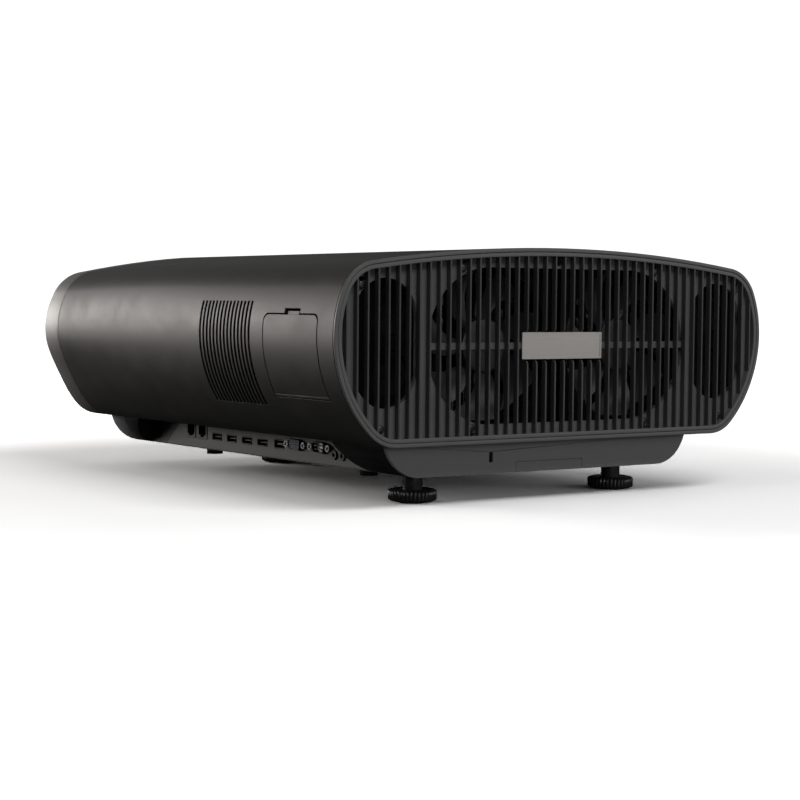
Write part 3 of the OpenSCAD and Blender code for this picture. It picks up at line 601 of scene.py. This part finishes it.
def end_rings():
    """The thin ring that ends the sleeve at the rear, and the lighter band at the front."""
    ring = fillet([(SLEEVE_Y[1] + 0.3, 0.1), (REAR_Y, 0.1), (REAR_Y, 3.0), (SLEEVE_Y[1] + 0.3, 3.0)], 0.5)
    groove = fillet([(SLEEVE_Y[1] - 0.2, 0.7), (SLEEVE_Y[1] + 0.6, 0.7), (SLEEVE_Y[1] + 0.6, 2.9),
                     (SLEEVE_Y[1] - 0.2, 2.9)], 0.1, 1)
    make("rear_ring", Shape().add(band(ring)).add(band(groove)), "ring_grey", "housing", ["rear_bezel"])
    front = fillet([(FRONT_Y, 0.0), (SLEEVE_Y[0] - 0.4, 0.0), (SLEEVE_Y[0] - 0.4, 3.0), (FRONT_Y, 3.0)], 0.6)
    tongue = fillet([(SLEEVE_Y[0] - 3, 0.9), (SLEEVE_Y[0] + 0.1, 0.9), (SLEEVE_Y[0] + 6, 3.1),
                     (SLEEVE_Y[0] + 6, 5.5), (SLEEVE_Y[0] - 3, 5.5)], 0.1, 1)
    make("front_band", drawn_in(Shape().add(band(front)).add(band(tongue))), "taupe", "housing",
         ["front_bezel"])


def fin_cuts_rear(x):
    """(low, high) gaps in the rear fin at x: behind the badge."""
    z0, z1 = MID_Z - BADGE_H / 2 - BADGE_CLEAR[0], MID_Z + BADGE_H / 2 + BADGE_CLEAR[1]
    return [(z0, z1)] if abs(x) < (BADGE_W + 1) / 2 + FIN_T / 2 else []


def fin_cuts_front(x):
    """(low, high) gaps in the front fin at x: round the lens, the dials and the screws."""
    cuts = []
    rings = [(0.0, LENS_Z, TRIM_R + 0.3)] + [(s * DIAL_X, LENS_Z, DIAL_R + 1.5) for s in (1, -1)]
    rings += [(s * sx, sz, 4.0) for s in (-1, 1) for sx, sz in SCREWS]
    for cx, cz, r in rings:
        d = max(abs(x - cx) - FIN_T / 2, 0)
        if d < r:
            h = math.sqrt(r * r - d * d)
            cuts.append((cz - h, cz + h))
    return cuts


def fin_bar(x, y0, y1, a, b, slopes):
    """One stretch of a fin from a up to b; slopes says which of its ends (low, high) are chamfered."""
    depth, height = FIN_CHAMFER
    yc = y1 - math.copysign(depth, y1 - y0)
    low = [(yc, a), (y1, a + height)] if slopes[0] else [(y1, a)]
    high = [(y1, b - height), (yc, b)] if slopes[1] else [(y1, b)]
    outline = [(y0, a), *low, *high, (y0, b)]
    return prism("x", outline, x - FIN_T / 2, x + FIN_T / 2)


def fins(end, cuts):
    """All the fins of one end."""
    shape = Shape()
    back, front = end * (REAR_Y - PLATE_SET - 0.3), end * (REAR_Y - FIN_SET)
    for i in range(FIN_COUNT):
        x = (i - (FIN_COUNT - 1) / 2) * FIN_PITCH
        lo, hi = section_z(x, RIM_T1 - 0.6)
        marks = [lo]
        for a, b in sorted(cuts(x)):
            marks += [a, b]
        marks.append(hi)
        for a, b in zip(marks[::2], marks[1::2]):
            if b - a > 1.0:
                shape.add(fin_bar(x, back, front, a, b, (a != lo, b != hi)))
    return shape


def pockets():
    """The plate's small windows, kept inside its outline."""
    w = FIN_PITCH - FIN_T
    spans = [(FIN_PITCH / 2, 177.0, 185.0)]
    for s in (-1, 1):
        spans += [(s * x, z + 3, z + 11) for x, z in SCREWS[:2]]
        spans += [(s * x, z - 10, z - 3.6) for x, z in SCREWS[2:]]
    out = []
    for x, z0, z1 in spans:
        for edge in (x - w / 2, x + w / 2):
            lo, hi = section_z(edge, RIM_T1)
            z0, z1 = max(z0, lo), min(z1, hi)
        if z1 - z0 > 2:
            out.append(rounded(x, (z0 + z1) / 2, w, z1 - z0, 0.8, 3))
    return out


def half_stadium(side):
    """The fan opening above or below the cross bar."""
    half_w = FAN_X + 2
    z0 = BAR_H / 2
    a0 = math.asin(z0 / FAN_BORE)
    n = 28
    right = [(half_w + FAN_BORE * math.cos(a), FAN_BORE * math.sin(a))
             for a in linspace(a0, math.pi / 2, n)]
    left = [(-x, z) for x, z in reversed(right)]
    return [(x, MID_Z + side * z) for x, z in right + left]


def grille(name, end, holes, cuts, node_name):
    """Rim, plate and fins of one end."""
    rim = fillet([(end * (REAR_Y - 0.3), RIM_T0), (end * (REAR_Y - 0.3), RIM_T1),
                  (end * (REAR_Y - PLATE_BACK), RIM_T1), (end * (REAR_Y - PLATE_BACK), RIM_T0)], 0.45)
    lo, hi = sorted((end * (REAR_Y - PLATE_SET), end * (REAR_Y - PLATE_BACK + 0.05)))
    shape = drawn_in if end < 0 else lambda solid: solid
    make(name + "_rim", shape(band(rim)), "ring_grey", "housing", [])
    make(name + "_plate", shape(prism("y", section_loop(RIM_T0 + 1.2), lo, hi, holes)), "grille_plate",
         "housing", [node_name], edge=0.35)
    make(name + "_fins", shape(fins(end, cuts)), "grille_grey", "housing", [], edge=0.3)


def vents():
    """The two speaker openings of a plate."""
    return [rounded(s * VENT_X, VENT_Z, VENT_W, VENT_H, VENT_W / 2, 14) for s in (-1, 1)]


def grilles():
    """The rear and the front grille."""
    screw_holes = [circle(s * x, z, 1.7, 16) for s in (-1, 1) for x, z in SCREWS]
    grille("rear_grille", 1, vents() + [half_stadium(1), half_stadium(-1)] + pockets() + screw_holes,
           fin_cuts_rear, "rear_grille")
    front_holes = [circle(0, LENS_Z, TRIM_R + 0.3, 96)]
    front_holes += [circle(s * DIAL_X, LENS_Z, 3.05, 24) for s in (-1, 1)]
    grille("front_grille", -1, vents() + front_holes + screw_holes, fin_cuts_front, "front_grille")


def badge():
    """A blank badge: a raised edge round a brushed face."""
    face = rounded(0, MID_Z, BADGE_W, BADGE_H, 0.6, 4)
    inner = rounded(0, MID_Z, BADGE_W - 2.4, BADGE_H - 2.4, 0.5, 4)
    y = REAR_Y - PLATE_SET
    frame_edge = prism("y", face, y, y + 1.8, [inner])
    make("badge_plate_frame", frame_edge, "badge", "housing", [], edge=0.25)
    make("badge_plate_face", prism("y", inner, y, y + 1.45), "badge", "housing", ["badge_plate"], edge=0.1)


def screw_head(x, y, z, end):
    """Pan head with a cross recess."""
    shape = Shape()
    head = [(3.0, 0.0), (3.0, 0.7), (2.6, 1.35), (1.6, 1.75), (0.9, 1.75), (0.9, 0.9), (0.02, 0.9),
            (0.02, 0.0)]
    shape.add(lathe("y", (x, y, z), [(r, end * h) for r, h in head], 24))
    for w, h in ((2.6, 0.55), (0.55, 2.6)):
        depth = sorted((y + end * 1.2, y + end * 1.5))
        shape.add(box((x - w / 2, x + w / 2), depth, (z - h / 2, z + h / 2)))
    return shape


def grille_screws():
    """The screws of both grilles."""
    shape = Shape()
    for end in (1, -1):
        for s in (-1, 1):
            for x, z in SCREWS:
                y = end * (REAR_Y - PLATE_SET)
                head = screw_head(s * x, y, z, end)
                shape.add((head.verts, head.faces))
                shank = [(1.5, y), (1.5, y - end * 5.2), (0.02, y - end * 5.2), (0.02, y)]
                shape.add(lathe("y", (s * x, 0, z), shank, 16))
    make("grille_screw_heads", drawn_in(shape), "black_steel", "housing", ["grille_screws"])


# ---------------------------------------------------------------- door and keypad

def side_patch(ys, zs, t0, t1, corner=None):
    """A curved sheet over the +X side, on (y, z) lines; corner(side) gives rounded top corners."""
    right = [station_at(z) for z in zs]
    n = len(ys)
    outer = [(at(s, t0)[0], y, at(s, t0)[1]) for s in right for y in ys]
    inner = [(at(s, t1)[0], y, at(s, t1)[1]) for s in right for y in ys]
    faces = []
    for i in range(len(zs) - 1):
        for k in range(n - 1):
            if corner and i == len(zs) - 2 and k in (0, n - 2):
                continue
            faces.append((i * n + k, i * n + k + 1, (i + 1) * n + k + 1, (i + 1) * n + k))
    if corner:
        top, low = len(zs) - 1, len(zs) - 2
        for side, k_edge, k_in in ((-1, 0, 1), (1, n - 1, n - 2)):
            arc = corner(side)
            first = len(outer)
            for y, z in arc[1:-1]:
                s = station_at(z)
                outer.append((at(s, t0)[0], y, at(s, t0)[1]))
                inner.append((at(s, t1)[0], y, at(s, t1)[1]))
            loop = [low * n + k_in, low * n + k_edge, *range(first, first + len(arc) - 2), top * n + k_in]
            faces.append(tuple(loop if side > 0 else reversed(loop)))
    return solid_sheet(outer, inner, faces)


def side_door():
    """The keypad door: panel with a finger tab, and its hinge barrel."""
    half = DOOR_LEN / 2 - DOOR_GAP
    z0, z1 = DOOR_Z[0] + DOOR_GAP + HINGE_SHOWN, DOOR_Z[1] - DOOR_GAP
    inner = linspace(DOOR_Y - half + DOOR_CORNER, DOOR_Y + half - DOOR_CORNER, 6)
    ys = [DOOR_Y - half, *inner, DOOR_Y + half]
    zs = [*linspace(z0, z1 - DOOR_CORNER, 14), z1]
    shape = Shape().add(side_patch(ys, zs, 0.0, DOOR_T, lambda side: door_arc(side, gap=DOOR_GAP)))
    tab_ys = linspace(DOOR_Y + TAB_Y[0], DOOR_Y + TAB_Y[1], 4)
    shape.add(side_patch(tab_ys, linspace(DOOR_Z[1] + TAB_Z[0], DOOR_Z[1] + TAB_Z[1], 3), 1.2, 2.25))
    barrel = [(r, DOOR_Y + e * half) for r, e in
              ((BARREL_R, -1), (BARREL_R, 1), (BARREL_BORE, 1), (BARREL_BORE, -1))]
    make("side_door_skin", shape, "gunmetal", "side_door", ["side_door"], edge=0.3)
    # The hinge strip left showing below the panel is bright as a painted highlight line along the door's
    # lower edge; the hinge itself is real
    web = side_patch(linspace(DOOR_Y - half, DOOR_Y + half, 8), [z0 - 1.6, z0 + 1], 0.9, DOOR_T)
    hinge = Shape().add(lathe("y", (HINGE_X, 0, HINGE_Z), fillet(barrel, 0.2), 32)).add(web)
    make("side_door_hinge", hinge, "bright_steel_and_highlight", "side_door", [])


KEYS = {"power": (196, 128), "source": (196, 112), "menu": (196, 96), "up": (165, 126.5),
        "down": (165, 97.5), "left": (179.5, 112), "right": (150.5, 112), "enter": (165, 112)}


def buttons():
    """The eight keys."""
    for key, (y, z) in KEYS.items():
        r = 6.0 if key == "enter" else 4.5
        cap = [(0.02, 182.6), (r + 1.3, 182.6), (r + 1.3, 183.6), (r, 183.6), (r, 188.9),
               (r - 0.6, 189.4), (r - 1.5, 189.5), (r * 0.5, 189.2), (0.02, 189.1)]
        make(key + "_key", lathe("x", (0, y, z), fillet(cap, 0.25, 2), 40), "key_plastic", key + "_button",
             [key + "_button"])


# ---------------------------------------------------------------- fans and speakers

BLADES, BLADE_SWEEP, BLADE_PITCH, BLADE_CAMBER = 7, 20, 17, 1.3
HALF_CHORD = (13, 6)  # degrees at the hub, and what the tip has more
BLADE_DEPTH, BLADE_HALF_T = 7.2, 0.7


def rotor(side):
    """One fan rotor: hub, its label disc and seven blades."""
    x = side * FAN_X
    hub_r, tip_r, y0 = 20.5, 55.5, 217.0
    hub = [(0.02, y0), (hub_r - 1.5, y0), (hub_r - 0.4, y0 - 0.5), (hub_r, y0 - 1.6), (hub_r, y0 - 15),
           (hub_r - 2, y0 - 15), (hub_r - 2, y0 - 2.5), (0.02, y0 - 2.5)]
    shape = Shape().add(lathe("y", (x, 0, MID_Z), fillet(hub, 0.3), 64))
    label = [(0.02, y0 + 0.02), (12.0, y0 + 0.02), (12.4, y0 - 0.4), (0.02, y0 - 0.4)]
    shape.add(lathe("y", (x, 0, MID_Z), label, 48))
    for b in range(BLADES):
        shape.add(blade(x, y0, hub_r - 0.6, tip_r, b * 360 / BLADES))
    name = "right" if side > 0 else "left"
    make(name + "_fan_blades", shape, "fan_plastic", name + "_fan_rotor", [name + "_fan_rotor"], edge=0.3)


def blade(cx, y0, r0, r1, turn):
    """A cambered blade that sweeps back towards its tip."""
    outer, inner, faces = [], [], []
    n_f, n_c = 9, 8
    for i in range(n_f + 1):
        f = i / n_f
        r = r0 + (r1 - r0) * f
        for j in range(n_c + 1):
            c = -1 + 2 * j / n_c
            chord = c * (HALF_CHORD[0] + HALF_CHORD[1] * f)
            a = math.radians(turn + BLADE_SWEEP * f * f + chord)
            slope = r * math.radians(chord) * math.tan(math.radians(BLADE_PITCH))
            h = BLADE_DEPTH + slope + BLADE_CAMBER * (1 - c * c)
            for line, lift in ((outer, BLADE_HALF_T), (inner, -BLADE_HALF_T)):
                line.append((cx + r * math.cos(a), y0 - h - lift, MID_Z + r * math.sin(a)))
    for i in range(n_f):
        for j in range(n_c):
            k = i * (n_c + 1) + j
            faces.append((k, k + 1, k + n_c + 2, k + n_c + 1))
    return solid_sheet(outer, inner, faces)


SPEAKER_X, SPEAKER_Y, SPEAKER_Z = 156, 221.0, (98, 142)


def speakers():
    """Four speaker cones with a rolled surround."""
    shape = Shape()
    y = SPEAKER_Y
    cone = [(0.02, y - 8), (3, y - 8.3), (6, y - 9), (13.5, y - 3.2), (14.5, y - 2.2), (15.5, y - 1.9),
            (16.5, y - 2.4), (17.4, y - 2), (17.6, y - 5), (12, y - 16), (12, y - 24), (0.02, y - 24)]
    for s in (-1, 1):
        for z in SPEAKER_Z:
            shape.add(lathe("y", (s * SPEAKER_X, 0, z), fillet(cone, 0.5), 56))
    # The cones' finish carries painted shade on top of their own black
    make("speaker_cones", shape, "cone", "housing", ["speaker_drivers"])


# ---------------------------------------------------------------- feet

KNURLS, KNURL_SHARP = 36, 0.7
KNURL_R, KNURL_EDGE_R = 16.9, 16.1  # full knurls beyond the first, shallow ones beyond the second
THREAD_PITCH, THREAD_Z, THREAD_ROOT, THREAD_DEPTH = 2.0, (8.0, 38.0), 6.8, 0.65


def knurl(r, a):
    """How far the knurls stand out at angle a of a ring of radius r."""
    share = 1.0 if r > KNURL_R else 0.35 if r > KNURL_EDGE_R else 0.0
    return share * (0.5 + 0.5 * math.cos(KNURLS * a)) ** KNURL_SHARP


def foot(name, x, y):
    """A screw foot: knurled disc, collar and threaded stem, and its rubber pad."""
    n = KNURLS * 8
    rim = [(15.6, 0.8), (16.4, 1.2), (17.0, 2.0), (17.4, 2.4), (17.45, 8.4), (17.0, 9.1), (16.2, 9.9),
           (15.4, 10.2), (13.6, 10.2), (13.1, 9.7), (9.6, 9.7), (9.1, 10.2)]
    verts = []
    profile = rim + [(7.0, 10.2), (7.0, 3.1), (13.4, 3.1), (13.4, 0.8)]
    for r, z in profile:
        for k in range(n):
            a = 2 * math.pi * k / n
            q = r + knurl(r, a)
            verts.append((x + q * math.cos(a), y + q * math.sin(a), z))
    disc = (verts, ring_faces(len(profile), n))
    collar = fillet([(5.5, 9.8), (7.5, 9.8), (7.5, 22.6), (5.5, 22.6)], 0.3)
    shape = Shape().add(disc).add(threaded_stem(x, y)).add(lathe("z", (x, y, 0), collar, 64))
    make(name + "_foot_screw", shape, "foot_plastic", name + "_foot", [name + "_foot"])
    grooves = [(0.02, 0.5), (4, 0.5), (4.4, 0.0), (7, 0.0), (7.4, 0.5), (9.4, 0.5), (9.8, 0.0), (12.4, 0.0),
               (13.0, 0.6), (13.0, 2.8), (0.02, 2.8)]
    make(name + "_foot_pad", lathe("z", (x, y, 0), grooves, 64), "rubber", name + "_pad", [name + "_pad"])


def threaded_stem(x, y):
    """A stem with a real helical thread of 2 mm pitch."""
    n, dz = 32, 0.25
    rows = int((THREAD_Z[1] - THREAD_Z[0]) / dz) + 1
    verts = []
    for i in range(rows):
        z = THREAD_Z[0] + i * dz
        for k in range(n):
            u = (z / THREAD_PITCH - k / n) % 1.0
            ridge = 1 - abs(2 * u - 1)
            r = THREAD_ROOT + THREAD_DEPTH * min(1.0, ridge * 1.35)
            if i in (0, rows - 1):
                r = THREAD_ROOT - 0.4
            a = 2 * math.pi * k / n
            verts.append((x + r * math.cos(a), y + r * math.sin(a), z))
    faces = ring_faces(rows, n, closed=False)
    faces.append(tuple(range(n)))
    faces.append(tuple((rows - 1) * n + k for k in range(n)))
    return verts, faces


# ---------------------------------------------------------------- lens

def lens():
    """The trim ring round the lens."""
    c = (0, 0, LENS_Z)
    f = FRONT_Y
    trim = [(60, f), (64.5, f), (TRIM_R, f + 1), (TRIM_R, f + 9.1), (68.5, f + 9.1), (68.5, f + 16),
            (56.5, f + 16), (56.5, f + 12)]
    make("lens_trim_ring", lathe("y", c, fillet(trim, 0.5), 128), "taupe", "housing", ["lens_trim"])


def cad_finish(name, slot, edge=0.0):
    """A CAD node kept as it is: finish, welded corners and softened edges."""
    ob = NODES[name]
    ob.data.materials.clear()
    ob.data.materials.append(MATS[slot])
    if edge:
        weld = ob.modifiers.new("weld", "WELD")
        weld.merge_threshold = 1e-6
        bevel(ob, edge, 2)


CAD_LOOKS = {
    "air_filters": ("filter_mesh", 0), "base_pan": ("black_plastic", 0.5), "front_fascia": ("base_grey", 0.5),
    "rear_fascia": ("base_grey", 0.5), "blanking_cover": ("base_grey", 0.25),
    "io_panel": ("panel_steel", 0.15),
    "network_sockets": ("socket_dark", 0.25), "hdmi_sockets": ("socket_dark", 0.15),
    "usb_socket": ("socket_dark", 0.15), "audio_jacks": ("black_plastic", 0.25),
    "power_inlet": ("black_plastic", 0.4),
    "mount_bosses": ("black_steel", 0.5), "base_screws": ("black_steel", 0.3),
    "chassis_deck": ("socket_steel", 0),
    "main_board": ("board", 0), "power_supply": ("board", 0), "optical_engine": ("cast_alloy", 0.8),
    "light_modules": ("cast_alloy", 0.5), "heat_sinks": ("cast_alloy", 0), "lens_mount": ("cast_alloy", 0.4),
    "vertical_carriage": ("cast_alloy", 0.4), "horizontal_carriage": ("cast_alloy", 0.4),
    "lens_barrel": ("black_plastic", 0.3), "lens_glass": ("coated_glass", 0), "zoom_ring": ("rubber", 0.3),
    "focus_ring": ("rubber", 0.3), "vertical_dial": ("taupe", 0.3), "horizontal_dial": ("taupe", 0.3),
    # The fan frames and speaker boxes take the painted shade of the openings' depths
    "fan_frames": ("painted_shade_black", 0.5), "speaker_boxes": ("painted_shade_black", 0.4),
    "keypad_tray": ("black_plastic", 0.3), "keypad_board": ("board", 0), "door_pins": ("socket_steel", 0.1)}


# ---------------------------------------------------------------- ports

def d_outline(cy, grow=0.0):
    """A D-shaped connector's outline as (y, z)."""
    half, low, h = 8.6 + grow, 7.4 + grow, 4.1 + grow
    corners = ((half, h), (-half, h), (-low, -h), (low, -h))
    return fillet([(cy + y, D_SUB_Z + z) for y, z in corners], 2.2, 5)


def pin_places(cy, rows):
    """Pins of a connector: one (count, z) for each row, centred on the connector."""
    return [(cy + (k - (count - 1) / 2) * PIN_PITCH, D_SUB_Z + dz)
            for count, dz in rows for k in range(count)]


def d_subs():
    """Two D-shaped connectors: shells, inserts with pins or holes, backs and hex standoffs."""
    face = PORT_X + D_SUB_FACE
    back_y, back_z = D_SUB_BACK
    shells, posts = Shape(), Shape()
    for cy in D_SUB_Y:
        shells.add(prism("x", d_outline(cy), PORT_X - 1, face, [d_outline(cy, -0.6)]))
        shells.add(box((PORT_X - 12, PORT_X - 1), (cy - back_y, cy + back_y), (BOARD_Z, BOARD_Z + back_z)))
        for s in (-NUT_Y, NUT_Y):
            nut = circle(cy + s, D_SUB_Z, NUT_R, 6)
            bore = circle(cy + s, D_SUB_Z, NUT_BORE, 18)
            posts.add(prism("x", nut, PORT_X + 1.2, PORT_X + 4.0, [bore]))
            posts.add(prism("x", bore, PORT_X - 2, PORT_X + 2.2))
    make("d_sub_shells", shells, "socket_dark", "housing", ["d_sub_sockets"], edge=0.12)
    make("hex_standoffs", posts, "bright_steel_and_highlight", "housing", [], edge=0.2)
    vga, serial = D_SUB_Y
    holes = [circle(y, z, 0.45, 10) for y, z in pin_places(vga, ((5, 2.0), (5, 0.0), (5, -2.0)))]
    insert = prism("x", d_outline(vga, -0.75), PORT_X, face - 0.5, holes)
    make("vga_insert", insert, "vga_blue", "housing", [], edge=0.1)
    body = Shape().add(prism("x", d_outline(serial, -0.75), PORT_X, PORT_X + 1.0))
    for y, z in pin_places(serial, ((5, 1.4), (4, -1.4))):
        body.add(prism("x", circle(y, z, 0.5, 12), PORT_X + 0.8, face - 0.6))
    make("serial_pins", body, "socket_steel", "housing", [], edge=0.08)


def socket_contacts():
    """Eight spring contacts in each network socket."""
    shape = Shape()
    for cy in NETWORK_Y:
        for k in range(8):
            y = cy + (k - 3.5) * CONTACT_PITCH
            height = (BOARD_Z + 10.4, BOARD_Z + 10.9)
            shape.add(box((PORT_X - 10.5, PORT_X - 2), (y - 0.25, y + 0.25), height))
    make("network_contacts", shape, "contact_gold", "housing", [], edge=0.08)


# ---------------------------------------------------------------- stage

# In metres and degrees
CAMERA_AT = (0.913, 1.290, 0.149)
YAW, PITCH, ROLL = 35.70, 3.02, 0.50
SENSOR_MM, LENS_MM = 36.0, 83.52
FLOOR_SIZE = 14.0
FLOOR_GAIN = 3.0
FLOOR_FADE = (0.45, 1.3)
FLOOR_BOUNCE = 0.12
FILL, BACKDROP = 0.035, 1.1
WARM = (1.0, 0.965, 0.945)

# name: position, target, size, power
LIGHTS = {
    "over_back": ((0.0, 1.7, 1.9), (0, 0.2, 0.05), (1.8, 0.8), 13.5),
    "back_left": ((-1.7, 1.9, 0.45), (0, 0.2, 0.1), (1.2, 0.6), 4.0),
    "side_low": ((1.25, -2.3, 0.30), (0.2, 0, 0.12), (1.8, 0.30), 12.0),
    "side_mid": ((1.25, -2.3, 0.62), (0.2, 0, 0.12), (1.8, 0.30), 17.0),
    "side_high": ((1.25, -2.3, 0.95), (0.2, 0, 0.12), (1.8, 0.30), 0.5),
    "right_over": ((1.6, 0.2, 1.6), (0.1, 0, 0.1), (1.2, 1.0), 2.2),
    "left_over": ((-1.8, 0.0, 1.7), (0, 0, 0.05), (1.4, 1.2), 3.0),
    "back_low": ((0.2, 2.4, 0.35), (0.1, 0.2, 0.08), (1.6, 0.4), 5.0),
    "front_over": ((-0.3, -2.0, 1.3), (0, 0, 0.05), (1.8, 0.8), 1.2),
}


def area_light(name, position, target, size, power, colour=(1, 1, 1)):
    """A rectangular soft light, in metres, aimed at target."""
    data = bpy.data.lights.new(name, "AREA")
    data.shape = "RECTANGLE"
    data.size, data.size_y = size
    data.energy = power
    data.color = colour
    ob = bpy.data.objects.new(name, data)
    bpy.context.scene.collection.objects.link(ob)
    ob.location = position
    ob.rotation_euler = (Vector(target) - Vector(position)).to_track_quat("-Z", "Y").to_euler()
    return ob


def camera():
    """The camera of the reference view."""
    yaw, pitch, roll = (math.radians(a) for a in (YAW, PITCH, ROLL))
    level = math.cos(pitch)
    forward = Vector((-math.sin(yaw) * level, -math.cos(yaw) * level, -math.sin(pitch)))
    right = forward.cross(Vector((0, 0, 1))).normalized()
    up = right.cross(forward)
    r2 = right * math.cos(roll) + up * math.sin(roll)
    u2 = up * math.cos(roll) - right * math.sin(roll)
    data = bpy.data.cameras.new("camera")
    data.sensor_width = SENSOR_MM
    data.lens = LENS_MM
    data.clip_start = 0.01
    ob = bpy.data.objects.new("camera", data)
    bpy.context.scene.collection.objects.link(ob)
    basis = Matrix((r2, u2, -forward)).transposed()
    ob.matrix_world = Matrix.Translation(CAMERA_AT) @ basis.to_4x4()
    bpy.context.scene.camera = ob


def floor():
    """A pale floor. What the camera sees is lifted and fades to white; bounces see a dimmer one."""
    mesh = bpy.data.meshes.new("floor")
    r = FLOOR_SIZE
    mesh.from_pydata([(-r, -r, 0), (r, -r, 0), (r, r, 0), (-r, r, 0)], [], [(0, 1, 2, 3)])
    ob = bpy.data.objects.new("floor", mesh)
    bpy.context.scene.collection.objects.link(ob)
    mat = bpy.data.materials.new("floor_white")
    mat.use_nodes = True
    tree = mat.node_tree
    tree.nodes.remove(tree.nodes["Principled BSDF"])
    coords = node(tree, "ShaderNodeTexCoord").outputs["Object"]
    tone = blend_colours(tree, noise(tree, coords, 30.0), grey(0.95), grey(0.97))
    gain = node(tree, "ShaderNodeVectorMath", operation="SCALE", Scale=FLOOR_GAIN)
    tree.links.new(tone, gain.inputs[0])
    lit = node(tree, "ShaderNodeBsdfDiffuse")
    tree.links.new(gain.outputs[0], lit.inputs["Color"])
    away = node(tree, "ShaderNodeVectorMath", operation="LENGTH")
    tree.links.new(coords, away.inputs[0])
    glow = node(tree, "ShaderNodeEmission")
    tree.links.new(span(tree, away.outputs["Value"], 0.0, 1.2, *FLOOR_FADE), glow.inputs["Strength"])
    seen = node(tree, "ShaderNodeAddShader")
    tree.links.new(lit.outputs[0], seen.inputs[0])
    tree.links.new(glow.outputs[0], seen.inputs[1])
    dim = node(tree, "ShaderNodeBsdfDiffuse", Color=(FLOOR_BOUNCE,) * 3 + (1,))
    path = node(tree, "ShaderNodeLightPath")
    mix = node(tree, "ShaderNodeMixShader")
    tree.links.new(path.outputs["Is Camera Ray"], mix.inputs[0])
    tree.links.new(dim.outputs[0], mix.inputs[1])
    tree.links.new(seen.outputs[0], mix.inputs[2])
    tree.links.new(mix.outputs[0], tree.nodes["Material Output"].inputs["Surface"])
    mesh.materials.append(mat)


def world():
    """A dim fill light, with white behind everything the camera sees."""
    w = bpy.data.worlds.new("studio")
    w.use_nodes = True
    tree = w.node_tree
    back = tree.nodes["Background"]
    back.inputs["Color"].default_value = (1, 1, 1, 1)
    back.inputs["Strength"].default_value = FILL
    white = node(tree, "ShaderNodeBackground", Color=(1, 1, 1, 1), Strength=BACKDROP)
    path = node(tree, "ShaderNodeLightPath")
    mix = node(tree, "ShaderNodeMixShader")
    tree.links.new(path.outputs["Is Camera Ray"], mix.inputs[0])
    tree.links.new(back.outputs[0], mix.inputs[1])
    tree.links.new(white.outputs[0], mix.inputs[2])
    tree.links.new(mix.outputs[0], tree.nodes["World Output"].inputs["Surface"])
    bpy.context.scene.world = w


def lights():
    """All the soft lights; those that shape the side are slightly warm."""
    for name, (position, target, size, power) in LIGHTS.items():
        area_light(name, position, target, size, power, WARM if "side" in name else (1, 1, 1))


def main():
    """Builds everything."""
    make_materials()
    camera()
    world()
    lights()
    floor()
    outer_sleeve()
    end_rings()
    grilles()
    badge()
    grille_screws()
    side_door()
    buttons()
    for side in (1, -1):
        rotor(side)
    speakers()
    for name, (x, y) in FEET.items():
        foot(name, x, y)
    lens()
    d_subs()
    socket_contacts()
    for name, (slot, edge) in CAD_LOOKS.items():
        cad_finish(name, slot, edge)
    view = bpy.context.scene.view_settings
    view.view_transform = "Standard"


main()
